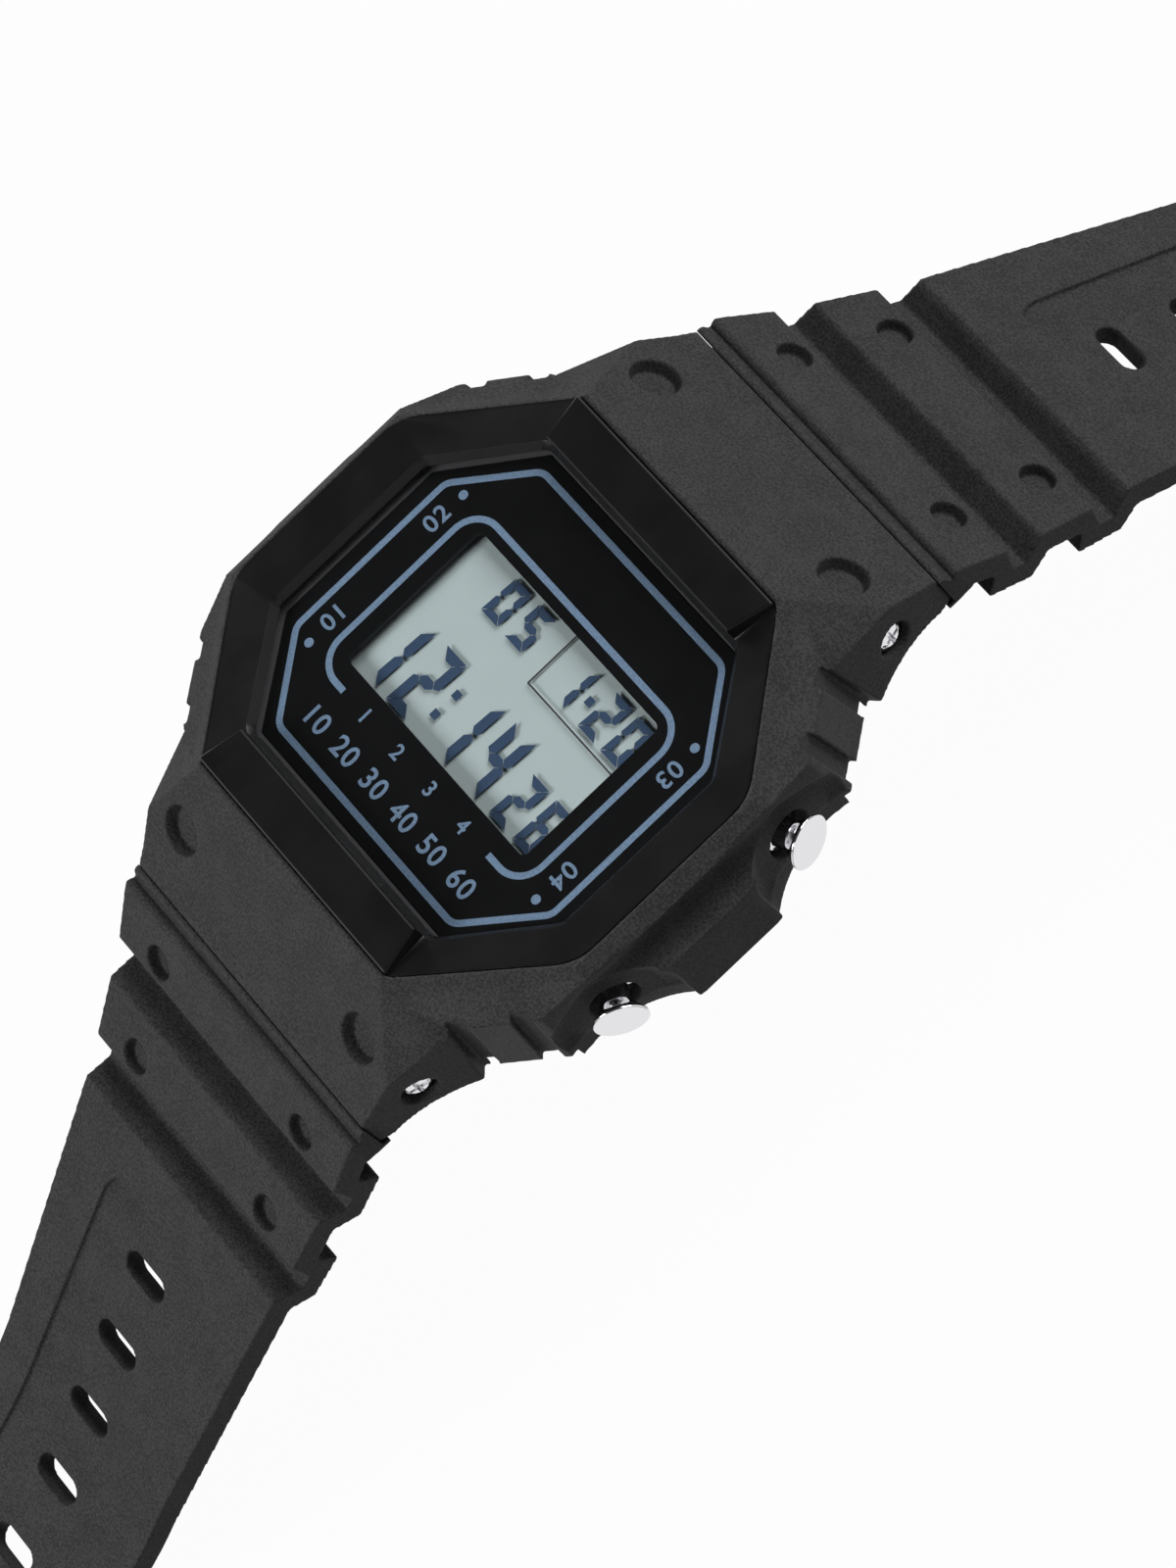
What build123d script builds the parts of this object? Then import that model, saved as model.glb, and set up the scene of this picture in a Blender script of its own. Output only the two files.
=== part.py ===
from build123d import *
from math import asin, atan2, cos, degrees, hypot, pi, radians, sin, tan
import os

# Digital wristwatch with a resin strap, lying open as a low arch.
# Millimetres. The origin is the centre of the case back's outer face, +Z is
# the way the display faces, +Y is 12 o'clock and +X is 3 o'clock.

# Heights in the case, from the case back's outer face
dial_z = 10.6
crystal_thickness = 0.8
mask_thickness = 0.3
display_drop = 0.8
body_bottom_z = 0.2
skirt_bottom_z = 2.4
button_z = 6.2

# Bezel ring, an octagon with a raised bar at 12 and at 6
ring_half_x = 18.85
ring_half_y = 16.5
ring_side_y = 7.2
ring_end_x = 10.4
ring_corner = 0.6
ring_side_corner = 4.0
ring_outer_z = 12.6
ring_inner_z = 12.0
ring_wall_x = 2.9
ring_wall_y = 3.25
ring_wall_side = 0.7
ring_wall_end = 0.2
opening_corner = 1.0
opening_draft = 0.45
bar_top_z = 13.4
bar_fall = 0.15
bar_half_inner = 9.65
bar_half_outer = 10.4
bar_edge = 0.12

# Matte shroud round the case
band_width = 1.0
band_rise = 0.85
guard_half_x = 21.0
guard_half_y = 3.1
shoulder_x = 18.9
shoulder_y = 11.4
corner_x = 14.9
corner_y = 16.1
skirt_top_z = 10.5
ramp_inner_y = 16.9
ramp_inner_z = 12.8
ramp_crease_y = 23.65
ramp_crease_z = 6.15
lip_y = 24.65
lip_z = 5.35
lip_wall = 0.8
end_half_x = 12.7
side_groove_radius = 2.1
side_groove_out = 0.4
side_groove_z = 9.9
facet_drop = 3.0
facet_meet_y = 21.6
tread_width = 1.4
tread_depth = 0.5
tread_lean_deg = 6.0
tread_shares = (0.10, 0.80)
step_bottom_z = 3.6
dimple_radius = 1.75
dimple_floor = 1.15
dimple_depth = 0.55
dimple_x = 10.0
dimple_y = 20.8
arch_half = 3.2
arch_rise = 0.8

# Case body under the shroud
shell_gap = 0.1
body_inset_x = 1.55
body_inset_y = 0.9
body_side_out = 1.0
body_end_out = 0.8
body_edge = 0.7
lug_half_x = 11.6
lug_reach_y = 23.2
lug_top_y = 16.6
lug_bottom_z = 1.0
lug_tip_z = 4.9
ledge_width = 0.6
gasket_width = 0.6
mask_lap = 0.65
cavity_wall_x = 0.9
cavity_wall_y = 3.2
cavity_side_y = 7.5
cavity_end_x = 8.0

# Case back, its gasket and screws
back_thickness = 0.8
back_wall_x = 2.1
back_wall_y = 2.3
back_side_y = 10.6
back_end_x = 10.2
back_gap = 0.1
seal_gap = 0.35
seal_width = 0.6
seal_height = 0.5
back_screw_inset = 2.5
back_screw_head = 1.0
back_screw_radius = 0.5
back_screw_length = 3.2
back_screw_recess = 0.45
back_screw_sink = 0.07
cross_share = 0.6

# Module
module_gap = 0.2
display_half_x = 11.4
display_half_y = 8.2
display_thickness = 1.6
window_half_x = 9.75
window_half_y = 5.85
window_centre_y = 0.3
window_corner = 0.5
guide_thickness = 0.95
guide_inset = 1.2
strip_width = 1.0
strip_inset = 0.5
board_z = 4.7
board_thickness = 0.75
chip_radius = 3.2
chip_height = 1.1
chip_crown_share = 0.85
chip_x = -4.0
can_radius = 0.75
can_length = 6.0
can_x = 5.5
lamp_size = 0.9
battery_radius = 10.0
battery_thickness = 1.6
battery_cap_share = 0.88
battery_cap_step = 0.25
battery_z = 2.7
clip_thickness = 0.25
clip_arm = 2.6
alarm_radius = 9.5
alarm_thickness = 0.3
leaf_thickness = 0.2
leaf_width = 1.6
leaf_height = 1.6
leaf_foot = 1.4
leaf_gap = 0.25

# Push buttons, mushroom heads on stems splayed towards the corners
button_face_x = 20.5
button_face_y = 8.0
button_splay_deg = 22.0
button_radius = 1.85
button_rim = 0.2
button_flare_length = 1.0
button_neck_radius = 1.0
button_neck_length = 1.1
button_collar_radius = 1.4
button_collar_length = 0.3
button_stem_radius = 0.9
button_travel = 0.8
stem_gap = 0.05
seal_groove_depth = 0.28
seal_groove_width = 0.5
seal_inset = 1.4
seal_rise = 0.04
clip_radius = 1.4
clip_groove_depth = 0.25
clip_gauge = 0.3
clip_offset = 0.1
clip_mouth = 1.0
stem_tail = 0.4
spring_radius = 1.3
spring_wire = 0.2
spring_turns = 3
spring_sides = 12
spring_seat_depth = 1.6
spring_seat_radius = 1.65
bowl_radius = 9.1
bowl_depth = 2.2
bowl_half = 4.35
bowl_arch_drop = 0.4
bowl_splay_deg = 14.2
bowl_floor_depth = 1.55
bowl_floor_z = 4.4
bowl_undercut = 0.35
bore_radius = 1.7
pocket_gap = 0.35

# Bezel screws, cross-headed, one in each lug's side
bezel_screw_y = 20.35
bezel_screw_z = 5.4
bezel_screw_head = 1.15
bezel_screw_sink = 0.3
bezel_screw_room = 0.15
bezel_screw_seat = 1.2
bezel_screw_crown = 0.3
crown_flat_share = 0.55
bezel_screw_radius = 0.5
bezel_screw_length = 4.2
bezel_screw_recess = 0.5
bezel_screw_slot = 0.3
bezel_screw_cross = 0.8

# Spring bars between the lugs
pivot_y = 21.0
pivot_z = 3.3
bar_radius = 0.75
bar_tip_radius = 0.4
bar_tip_length = 1.6
bar_shoulder_gap = 0.15
fit_gap = 0.05
strap_tongue_half = 7.8
tongue_side_gap = 0.25
barrel_radius = 2.1
barrel_gap = 0.35
roof_gap = 0.3
roof_run = 1.0
roof_share = 0.9
root_overlap = 0.3

# Strap, as lengths along its outer face and the slope of each length
root_y = 24.85
root_top_z = 5.15
root_strip = 0.35
root_strip_fall = 0.2
root_bottom_z = 2.0
root_foot_y = 24.3
root_foot_gap = 0.2
root_foot_height = 0.35
root_groove = 0.65
root_groove_length = 0.55
root_soft = 0.15
rib_start_y = 26.0
rib_start_z = 4.85
rib_one_length = 4.85
rib_two_length = 4.7
rib_gap_one = 3.1
rib_gap_two = 3.35
rib_groove_depth = 1.8
rib_groove_floor = 0.9
rib_soft = 0.3
rib_lead_soft = 0.42
rib_depth = 3.3
web_depth = 1.7
rib_slopes_deg = (48.8, 42.4, 41.5, 38.9, 38.3)
panel_length = 20.5
panel_thickness = 1.9
bend_radius = 30.0
short_flat = 12.0
long_flat = 48.0
root_half = 12.9
panel_half = 11.0
panel_mid_half = 9.35
tip_half = 9.0
channel_start = 3.9
channel_half = 5.9
channel_depth = 0.35
channel_corner = 1.6
channel_end_gap = 6.0
slot_start = 8.2
slot_pitch = 6.26
slot_half_length = 2.1
slot_half_width = 0.95
short_slot_count = 5
long_slot_count = 12
strap_dimple_radius = 1.25
strap_dimple_floor = 0.85
strap_dimple_depth = 0.5
strap_dimple_share = 0.65
strap_dimple_shift = 0.9
tip_radius = 7.5

# Buckle at the end of the 12 o'clock strap, and the keeper on it
buckle_bar_radius = 0.75
buckle_barrel_radius = 2.0
buckle_inner_half = 9.5
buckle_arm_width = 1.9
buckle_thickness = 1.9
buckle_length = 11.0
buckle_front_width = 2.4
buckle_corner = 1.5
buckle_arm_back = 1.6
pin_tip_length = 1.1
buckle_edge = 0.35
buckle_slot_half = 1.4
buckle_slot_back = 3.4
tongue_half_width = 1.0
tongue_loop_radius = 1.45
tongue_thickness = 1.0
tongue_overhang = 0.6
tongue_rest_gap = 0.1
keeper_width = 5.0
keeper_wall = 1.1
keeper_gap = 0.15
keeper_room = 2.5
keeper_corner = 1.0
keeper_slack = 0.8

# One overrun for every cut
over = 1.0

span = panel_length + long_flat
crystal_z = dial_z + crystal_thickness
seat_z = crystal_z + shell_gap / 2
mask_z = dial_z - mask_thickness
display_z = dial_z - display_drop
board_top_z = board_z + board_thickness
ramp_slope_deg = degrees(atan2(ramp_inner_z - ramp_crease_z, ramp_crease_y - ramp_inner_y))
facet_deg = degrees(atan2(corner_x - end_half_x, lip_y - corner_y))
facet_x = corner_x - (bezel_screw_y - corner_y) * (corner_x - end_half_x) / (lip_y - corner_y)
ramp_fall = (ramp_inner_z - ramp_crease_z) / (ramp_crease_y - ramp_inner_y)
opening_half_x = ring_half_x - ring_wall_x
opening_half_y = ring_half_y - ring_wall_y
opening_side_y = ring_side_y - ring_wall_side
opening_end_x = ring_end_x - ring_wall_end
body_half_x = ring_half_x - body_inset_x
body_half_y = ring_half_y - body_inset_y
body_side_y = ring_side_y + body_side_out
body_end_x = ring_end_x + body_end_out
cavity_half_x = display_half_x + cavity_wall_x
cavity_half_y = display_half_y + cavity_wall_y
back_half_x = cavity_half_x + back_wall_x
back_half_y = cavity_half_y + back_wall_y
back_screw_x = back_half_x - back_screw_inset
back_screw_y = back_half_y - back_screw_inset
crystal_half_x = opening_half_x
crystal_half_y = opening_half_y
crystal_side_y = opening_side_y + ledge_width / 2
crystal_end_x = opening_end_x + ledge_width / 2
rib_two_s = rib_one_length + rib_gap_one
panel_s = rib_two_s + rib_two_length + rib_gap_two
bend_length = bend_radius * radians(rib_slopes_deg[-1])
long_extra = (keeper_gap + keeper_wall) / sin(radians(rib_slopes_deg[-1]))


def quartered(points):
    """Closed face through a first quadrant's points and their mirror images."""
    back = [(-x, y) for x, y in reversed(points)]
    half = points + back
    low = [(x, -y) for x, y in reversed(half)]
    return make_face(Polyline(*half, *low, close=True))


def octagon(half_x, half_y, side_y, end_x, corner=0):
    """Octagon face, with its corners rounded if a radius is given."""
    face = quartered([(half_x, side_y), (end_x, half_y)])
    return fillet(face.vertices(), corner) if corner else face


def prism(face, low, high):
    """Upright prism over a flat face, between two heights."""
    return Pos(0, 0, low) * extrude(face, high - low)


def side_prism(points, half):
    """Prism of a side outline, (y, z) points, that reaches half to each side."""
    return extrude(Plane.YZ * make_face(Polyline(*points, close=True)), half, both=True)


def disc(radius, low, high, x=0, y=0):
    """Upright cylinder between two heights."""
    return Pos(x, y, low) * extrude(Circle(radius), high - low)


def shank(radius, low, high):
    """Screw shank or its hole, eight-sided, on the Z axis."""
    return Pos(0, 0, low) * extrude(RegularPolygon(radius, 8), high - low)


def rod(radius, half, y, z):
    """Cylinder along X, centred on the watch's middle plane."""
    return Pos(0, y, z) * Rot(0, 90, 0) * Cylinder(radius, 2 * half)


def block(x0, x1, y0, y1, z0, z1):
    """Box between two corners."""
    return Pos((x0 + x1) / 2, (y0 + y1) / 2, (z0 + z1) / 2) * Box(x1 - x0, y1 - y0, z1 - z0)


def cone_cut(rim, floor, depth):
    """Cutter for a round dimple that narrows from its rim to its floor."""
    return Cone(floor, 2 * rim - floor, 2 * depth)


def both_ends(solid):
    """A solid and its mirror image at the other end of the watch."""
    return [solid, mirror(solid, Plane.XZ)]


def four_corners(solid):
    """A solid and its mirror images in the other three quarters."""
    pair = both_ends(solid)
    return pair + [mirror(s, Plane.YZ) for s in pair]


def lathe(points, place):
    """Turned solid: (radius, height) points about the Z axis of a place."""
    face = Plane.XZ * make_face(Polyline(*points, close=True))
    return place * revolve(face, Axis.Z)


def button_place(side, end):
    """Place of a button: its origin is the head's face and its Z points outwards."""
    turn = radians(button_splay_deg)
    out = (side * cos(turn), end * sin(turn), 0)
    return Plane((side * button_face_x, end * button_face_y, button_z), z_dir=out).location


def depth_to(x):
    """Distance along a button's axis from its face to the plane at x."""
    return (button_face_x - x) / cos(radians(button_splay_deg))


def clip_seat():
    """Depth of the flat seat that a button's clip stops against."""
    lean = tan(radians(button_splay_deg))
    return depth_to(cavity_half_x) - (clip_radius + pocket_gap) * lean - shell_gap


def at_buttons(points):
    """The same turned cut on the axis of each of the four buttons."""
    return [lathe(points, button_place(side, end)) for side in (1, -1) for end in (1, -1)]


def body_envelope(gap):
    """Outer form of the case body, or with a gap the hollow that takes it."""
    plan = octagon(body_half_x + gap, body_half_y + gap, body_side_y, body_end_x)
    core = prism(plan, body_bottom_z, crystal_z + gap)
    reach = lug_reach_y + gap
    half = [(reach, lug_bottom_z), (reach, lug_tip_z + gap), (lug_top_y, crystal_z + gap)]
    outline = half + [(-y, z) for y, z in reversed(half)]
    return core + side_prism(outline, lug_half_x + gap)


def strap_pocket(half):
    """Room for the strap's barrel and tongue between the lugs."""
    inner = pivot_y - barrel_radius - barrel_gap
    roof = pivot_z + barrel_radius + roof_gap
    lip_roof = lip_z - lip_wall
    points = [(inner, -over), (inner, roof), (pivot_y + roof_run, roof), (lip_y, lip_roof),
              (lip_y + over, lip_roof), (lip_y + over, -over)]
    return side_prism(points, half)


def bore_bar_holes(x_far):
    """Blind holes for a spring bar's tips, across both lugs."""
    return both_ends(rod(bar_tip_radius + fit_gap / 2, x_far, pivot_y, pivot_z))


def button_bores():
    """Stem bores and spring seats through the case body's wall."""
    wall = depth_to(body_half_x)
    spot = clip_radius + pocket_gap
    far = depth_to(cavity_half_x) + over
    bore = [(0, over - wall), (spring_seat_radius, over - wall),
            (spring_seat_radius, -wall - spring_seat_depth),
            (button_stem_radius + stem_gap, -wall - spring_seat_depth),
            (button_stem_radius + stem_gap, -clip_seat()), (spot, -clip_seat()), (spot, -far),
            (0, -far)]
    return at_buttons(bore)


def back_screw_holes(radius, low, high):
    """One hole for a shank at each case back screw."""
    return four_corners(Pos(back_screw_x, back_screw_y) * shank(radius, low, high))


def seal_outline(outset):
    """Outline of the case back gasket, this far outside the cavity."""
    return octagon(cavity_half_x + outset, cavity_half_y + outset, cavity_side_y + outset / 2,
                   cavity_end_x + outset / 2)


def bezel_screw_place():
    """Place of the first quadrant's bezel screw, with Z out of the facet."""
    turn = radians(facet_deg)
    seat = Plane((facet_x, bezel_screw_y, bezel_screw_z), z_dir=(cos(turn), sin(turn), 0))
    return seat.location


def case_body():
    """Moulded case: lugs, button bores, crystal seat and module cavity."""
    body = body_envelope(0)
    foot = body.faces().sort_by(Axis.Z)[0]
    body = chamfer(foot.edges(), body_edge)
    body -= side_pockets()
    glass = octagon(crystal_half_x + gasket_width, crystal_half_y + gasket_width,
                    crystal_side_y, crystal_end_x)
    body -= prism(glass, dial_z, crystal_z + over)
    body -= prism(mask_outline(module_gap / 2), mask_z, dial_z + over)
    cavity = octagon(cavity_half_x, cavity_half_y, cavity_side_y, cavity_end_x)
    body -= prism(cavity, -over, mask_z + over)
    body -= prism(back_outline(back_gap), -over, back_thickness)
    body -= prism(seal_outline(seal_gap + seal_width) - seal_outline(seal_gap),
                  back_thickness - over, back_thickness + seal_height)
    body -= back_screw_holes(back_screw_radius, -over, back_screw_length + fit_gap)
    body -= button_bores()
    body -= bore_bar_holes(strap_tongue_half + tongue_side_gap + bar_tip_length)
    hole = bezel_screw_place() * shank(bezel_screw_radius, -bezel_screw_length - fit_gap, 0)
    body -= four_corners(hole)
    return body


def side_pockets():
    """The strap's room at both ends, for the case body."""
    return both_ends(strap_pocket(strap_tongue_half + tongue_side_gap))


def mask_outline(gap):
    """Outline of the dial mask, inside the crystal's edge."""
    return octagon(crystal_half_x - mask_lap + gap, crystal_half_y - mask_lap + gap,
                   crystal_side_y - mask_lap / 2, crystal_end_x - mask_lap / 2)


def back_outline(gap):
    """Outline of the case back."""
    return octagon(back_half_x + gap, back_half_y + gap, back_side_y, back_end_x)


def ring_outline(gap):
    """Outline of the bezel ring, grown by a gap."""
    return octagon(ring_half_x + gap, ring_half_y + gap, ring_side_y + gap / 2,
                   ring_end_x + gap / 2)


def ring_plan(gap):
    """Outline of the bezel ring with its corners rounded, wider at the sides."""
    face = ring_outline(gap)
    face = fillet([v for v in face.vertices() if abs(v.X) > corner_x], ring_side_corner)
    return fillet([v for v in face.vertices() if abs(v.Y) > corner_y], ring_corner)


def opening_outline(gap, corner=0):
    """Outline of the ring's opening, grown by a gap."""
    return octagon(opening_half_x + gap, opening_half_y + gap, opening_side_y + gap / 2,
                   opening_end_x + gap / 2, corner)


def shroud_core():
    """Guards and sloping shoulders round the case."""
    skirt_points = [(guard_half_x, guard_half_y), (shoulder_x, shoulder_y), (corner_x, corner_y)]
    band_z = ring_outer_z - band_rise
    band_points = [(ring_half_x + band_width, guard_half_y),
                   (ring_half_x + band_width, ring_side_y + band_width / 2),
                   (ring_end_x + band_width / 2, ring_half_y + band_width)]
    skirt = prism(quartered(skirt_points), skirt_bottom_z, skirt_top_z)
    low = Pos(0, 0, skirt_top_z) * quartered(skirt_points)
    high = Pos(0, 0, band_z) * quartered(band_points)
    slope = loft([low, high], ruled=True)
    rim_low = Pos(0, 0, band_z) * ring_outline(band_width)
    rim_high = Pos(0, 0, ring_outer_z) * ring_outline(band_width - band_rise)
    return skirt + slope + loft([rim_low, rim_high], ruled=True)


def shroud_end():
    """Ramp from the ring down to the strap, with faceted sides for the screws."""
    outline = [(0, skirt_bottom_z), (lip_y, skirt_bottom_z), (lip_y, lip_z),
               (ramp_crease_y, ramp_crease_z), (ramp_inner_y, ramp_inner_z), (0, ramp_inner_z)]
    ramp = side_prism(outline, guard_half_x)
    plan = [(corner_x, 0), (corner_x, corner_y), (end_half_x, lip_y), (-end_half_x, lip_y),
            (-corner_x, corner_y), (-corner_x, 0)]
    ramp &= prism(make_face(Polyline(*plan, close=True)), 0, span)
    high = Vector(ring_end_x, ring_half_y, ramp_inner_z)
    share = (facet_meet_y - corner_y) / (lip_y - corner_y)
    meet = Vector(corner_x - share * (corner_x - end_half_x), facet_meet_y, ramp_z(facet_meet_y))
    low = Vector(corner_x, corner_y, ramp_inner_z - facet_drop)
    normal = (low - high).cross(meet - high)
    facet = Plane(high, z_dir=normal)
    ramp = split(ramp, facet, keep=Keep.BOTTOM)
    return split(ramp, facet_mirrored(facet), keep=Keep.BOTTOM)


def ramp_z(y):
    """Height of the ramp's surface at y."""
    return ramp_inner_z - (y - ramp_inner_y) * ramp_fall


def facet_mirrored(facet):
    """A facet's plane mirrored from the 3 o'clock side to the 9 o'clock side."""
    point = facet.origin
    normal = facet.z_dir
    return Plane((-point.X, point.Y, point.Z), z_dir=(-normal.X, normal.Y, normal.Z))


def tread_cuts():
    """Leaning treads across the diagonal side, and the step under them."""
    turn = degrees(atan2(shoulder_x - corner_x, corner_y - shoulder_y))
    cuts = [block(body_end_x, span, shoulder_y, corner_y, -over, step_bottom_z)]
    for share in tread_shares:
        x = corner_x + share * (shoulder_x - corner_x)
        y = corner_y - share * (corner_y - shoulder_y)
        tread = Rot(tread_lean_deg, 0, 0) * Box(2 * tread_depth, tread_width, span)
        cuts.append(Pos(x, y, skirt_top_z) * Rot(0, 0, turn) * tread)
    return cuts


def button_bowl():
    """Arched bowl in the flank round one button, undercut below its floor's edge."""
    turn = radians(bowl_splay_deg)
    out = Vector(cos(turn), sin(turn), 0)
    face = Vector(button_face_x, button_face_y, button_z)
    centre = face + out * (bowl_radius - bowl_depth)
    place = Plane(face, x_dir=(-out.Y, out.X, 0), z_dir=out).location
    below = Pos(0, -button_z - bowl_arch_drop) * Rectangle(2 * bowl_half, 2 * button_z)
    arch = Pos(0, -bowl_arch_drop) * Circle(bowl_half) + below
    bowl = place * Pos(0, 0, -bowl_floor_depth) * extrude(arch, bowl_radius)
    bowl &= Pos(centre) * Sphere(bowl_radius)
    rim = (bowl_radius ** 2 - (button_z - bowl_floor_z) ** 2) ** 0.5
    foot = Pos(centre.X, centre.Y, bowl_floor_z / 2) * Cone(rim + bowl_undercut, rim, bowl_floor_z)
    return bowl + (place * extrude(below, bowl_radius, both=True) & foot)


def button_recess():
    """Bowl and stem bore in the shroud at one button."""
    bore = [(0, 0), (bore_radius, 0), (bore_radius, -depth_to(0)), (0, -depth_to(0))]
    return button_bowl() + lathe(bore, button_place(1, 1))


def screw_recess():
    """Counterbore and clearance hole for one bezel screw."""
    seat = bezel_screw_place()
    head = seat * Cylinder(bezel_screw_head + bezel_screw_room, 2 * bezel_screw_seat)
    return head + seat * shank(bezel_screw_radius + shell_gap, -bezel_screw_length, 0)


def end_arch():
    """Shallow arch under the shroud's side, below the screw."""
    radius = (arch_half ** 2 + arch_rise ** 2) / (2 * arch_rise)
    centre = Pos(corner_x, bezel_screw_y, skirt_bottom_z + arch_rise - radius)
    return centre * Rot(0, 90, 0) * Cylinder(radius, 2 * (corner_x - lug_half_x))


def dimple():
    """Round dimple in the ramp, square to its surface."""
    turn = radians(ramp_slope_deg)
    out = (0, sin(turn), cos(turn))
    place = Plane((dimple_x, dimple_y, ramp_z(dimple_y)), z_dir=out).location
    return place * cone_cut(dimple_radius, dimple_floor, dimple_depth)


def side_groove():
    """Hollow along the side between the ring's band and the guard."""
    place = Pos(guard_half_x + side_groove_out, 0, side_groove_z) * Rot(90, 0, 0)
    return place * Cylinder(side_groove_radius, span)


def bezel_shroud():
    """Resin shroud that wraps the case, in one piece."""
    shroud = shroud_core()
    for end in both_ends(shroud_end()):
        shroud += end
    cuts = tread_cuts() + [side_groove(), button_recess(), screw_recess(), end_arch(), dimple()]
    for cut in cuts:
        shroud -= four_corners(cut)
    shroud -= body_envelope(shell_gap)
    shroud -= side_pockets()
    shroud -= prism(ring_plan(fit_gap), seat_z, ring_outer_z + span)
    return shroud


def bezel_ring():
    """Glossy ring round the crystal, with the two raised bars."""
    ring = prism(ring_plan(0), seat_z, ring_outer_z)
    low = Pos(0, 0, ring_inner_z) * opening_outline(0)
    high = Pos(0, 0, ring_outer_z) * ring_outline(-bar_edge)
    ring -= loft([low, high], ruled=True)
    plan = [(bar_half_inner, opening_half_y), (bar_half_outer, ring_half_y),
            (-bar_half_outer, ring_half_y), (-bar_half_inner, opening_half_y)]
    outline = [(opening_half_y, seat_z), (ring_half_y, seat_z), (ring_half_y, bar_top_z - bar_fall),
               (opening_half_y, bar_top_z)]
    bar = side_prism(outline, ring_half_x) & prism(make_face(Polyline(*plan, close=True)), 0, span)
    bar &= prism(ring_plan(0), 0, span)
    bar = chamfer(bar.faces().sort_by(Axis.Z)[-1].edges(), bar_edge)
    for end in both_ends(bar):
        ring += end
    hole_low = Pos(0, 0, seat_z - fit_gap) * opening_outline(-opening_draft, opening_corner)
    hole_high = Pos(0, 0, ring_inner_z) * opening_outline(0, opening_corner)
    ring -= loft([hole_low, hole_high], ruled=True)
    ring -= prism(opening_outline(0, opening_corner), ring_inner_z, ring_inner_z + over)
    return ring


def crystal():
    """Flat window over the dial."""
    plan = octagon(crystal_half_x, crystal_half_y, crystal_side_y, crystal_end_x)
    return prism(plan, dial_z, crystal_z)


def crystal_gasket():
    """Square-section gasket round the crystal's edge."""
    outer = octagon(crystal_half_x + gasket_width, crystal_half_y + gasket_width,
                    crystal_side_y, crystal_end_x)
    inner = octagon(crystal_half_x, crystal_half_y, crystal_side_y, crystal_end_x)
    return prism(outer - inner, dial_z, crystal_z)


def window():
    """Outline of the display window in the mask."""
    shape = Pos(0, window_centre_y) * Rectangle(2 * window_half_x, 2 * window_half_y)
    return fillet(shape.vertices(), window_corner)


def dial_mask():
    """Printed mask under the crystal, with the display window."""
    return prism(mask_outline(0) - window(), mask_z, dial_z)


def lcd_panel():
    """Display glass, two plates with a narrow ledge for the contacts."""
    low = display_z - display_thickness
    mid = display_z - display_thickness / 2
    lower = block(-display_half_x, display_half_x, -display_half_y, display_half_y, low, mid)
    inner_y = display_half_y - strip_width
    upper = block(-display_half_x, display_half_x, -inner_y, inner_y, mid, display_z)
    return lower + upper


def light_guide():
    """Clear plate that spreads the lamp's light behind the display."""
    top = display_z - display_thickness
    half_x = display_half_x - guide_inset
    half_y = display_half_y - strip_inset - strip_width - guide_inset / 4
    return block(-half_x, half_x, -half_y, half_y, top - guide_thickness, top)


def backlight_lamp():
    """Small lamp standing on the board beside the light guide."""
    x = display_half_x - guide_inset + module_gap / 2
    top = display_z - display_thickness - module_gap
    lamp = block(x, x + lamp_size, -lamp_size, lamp_size, board_top_z, top)
    return lamp


def contact_strips():
    """Striped rubber connectors from the board up to the display."""
    outer = display_half_y - strip_inset
    half_x = display_half_x - guide_inset
    strip = block(-half_x, half_x, outer - strip_width, outer, board_top_z,
                  display_z - display_thickness)
    return Compound(both_ends(strip))


def stem_end():
    """Depth of a stem's inner end, below the button's face."""
    return clip_seat() + clip_offset + clip_gauge + stem_tail


def button_clearances(room):
    """Space in the module for each stem's end and travel, with room behind it."""
    near = clip_seat()
    far = stem_end() + button_travel + leaf_gap + room
    spot = clip_radius + pocket_gap
    space = block(-spot, spot, -spot, spot, -far, -near)
    return [button_place(side, end) * space for side in (1, -1) for end in (1, -1)]


def module_plan(inset):
    """Outline of the module, inside the cavity's wall."""
    return octagon(cavity_half_x - inset, cavity_half_y - inset, cavity_side_y, cavity_end_x)


def module_holder():
    """Upper frame that holds the display, light guide and contact strips."""
    top = mask_z
    low = display_z - display_thickness
    holder = prism(module_plan(module_gap), board_top_z, top)
    fit = fit_gap
    holder -= block(-display_half_x - fit, display_half_x + fit, -display_half_y - fit,
                    display_half_y + fit, low, top + over)
    half_x = display_half_x - guide_inset + module_gap / 2 + lamp_size + fit
    half_y = display_half_y - strip_inset + fit
    holder -= block(-half_x, half_x, -half_y, half_y, board_top_z - over, low + over)
    holder -= button_clearances(leaf_foot + fit_gap)
    return holder


def circuit_board():
    """Board under the holder."""
    board = prism(module_plan(2 * module_gap), board_z, board_top_z)
    board -= button_clearances(leaf_thickness)
    return board


def chip():
    """Round resin blob over the bare chip."""
    dome = [(0, 0), (chip_radius, 0), (chip_radius * chip_crown_share, chip_height / 2),
            (0, chip_height)]
    return lathe(dome, Location((chip_x, 0, board_top_z)))


def timing_can():
    """Quartz tuning fork in its metal can, lying on the board."""
    can = Pos(can_x, 0, board_top_z + can_radius) * Rot(90, 0, 0)
    return can * Cylinder(can_radius, can_length)


def battery():
    """Coin cell with its rounded can and smaller cap."""
    cap = battery_radius * battery_cap_share
    step = battery_z + battery_cap_step
    top = battery_z + battery_thickness
    points = [(0, battery_z), (cap, battery_z), (cap, step),
              (battery_radius, step + battery_cap_step), (battery_radius, top), (0, top)]
    return lathe(points, Location((0, 0, 0)))


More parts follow.
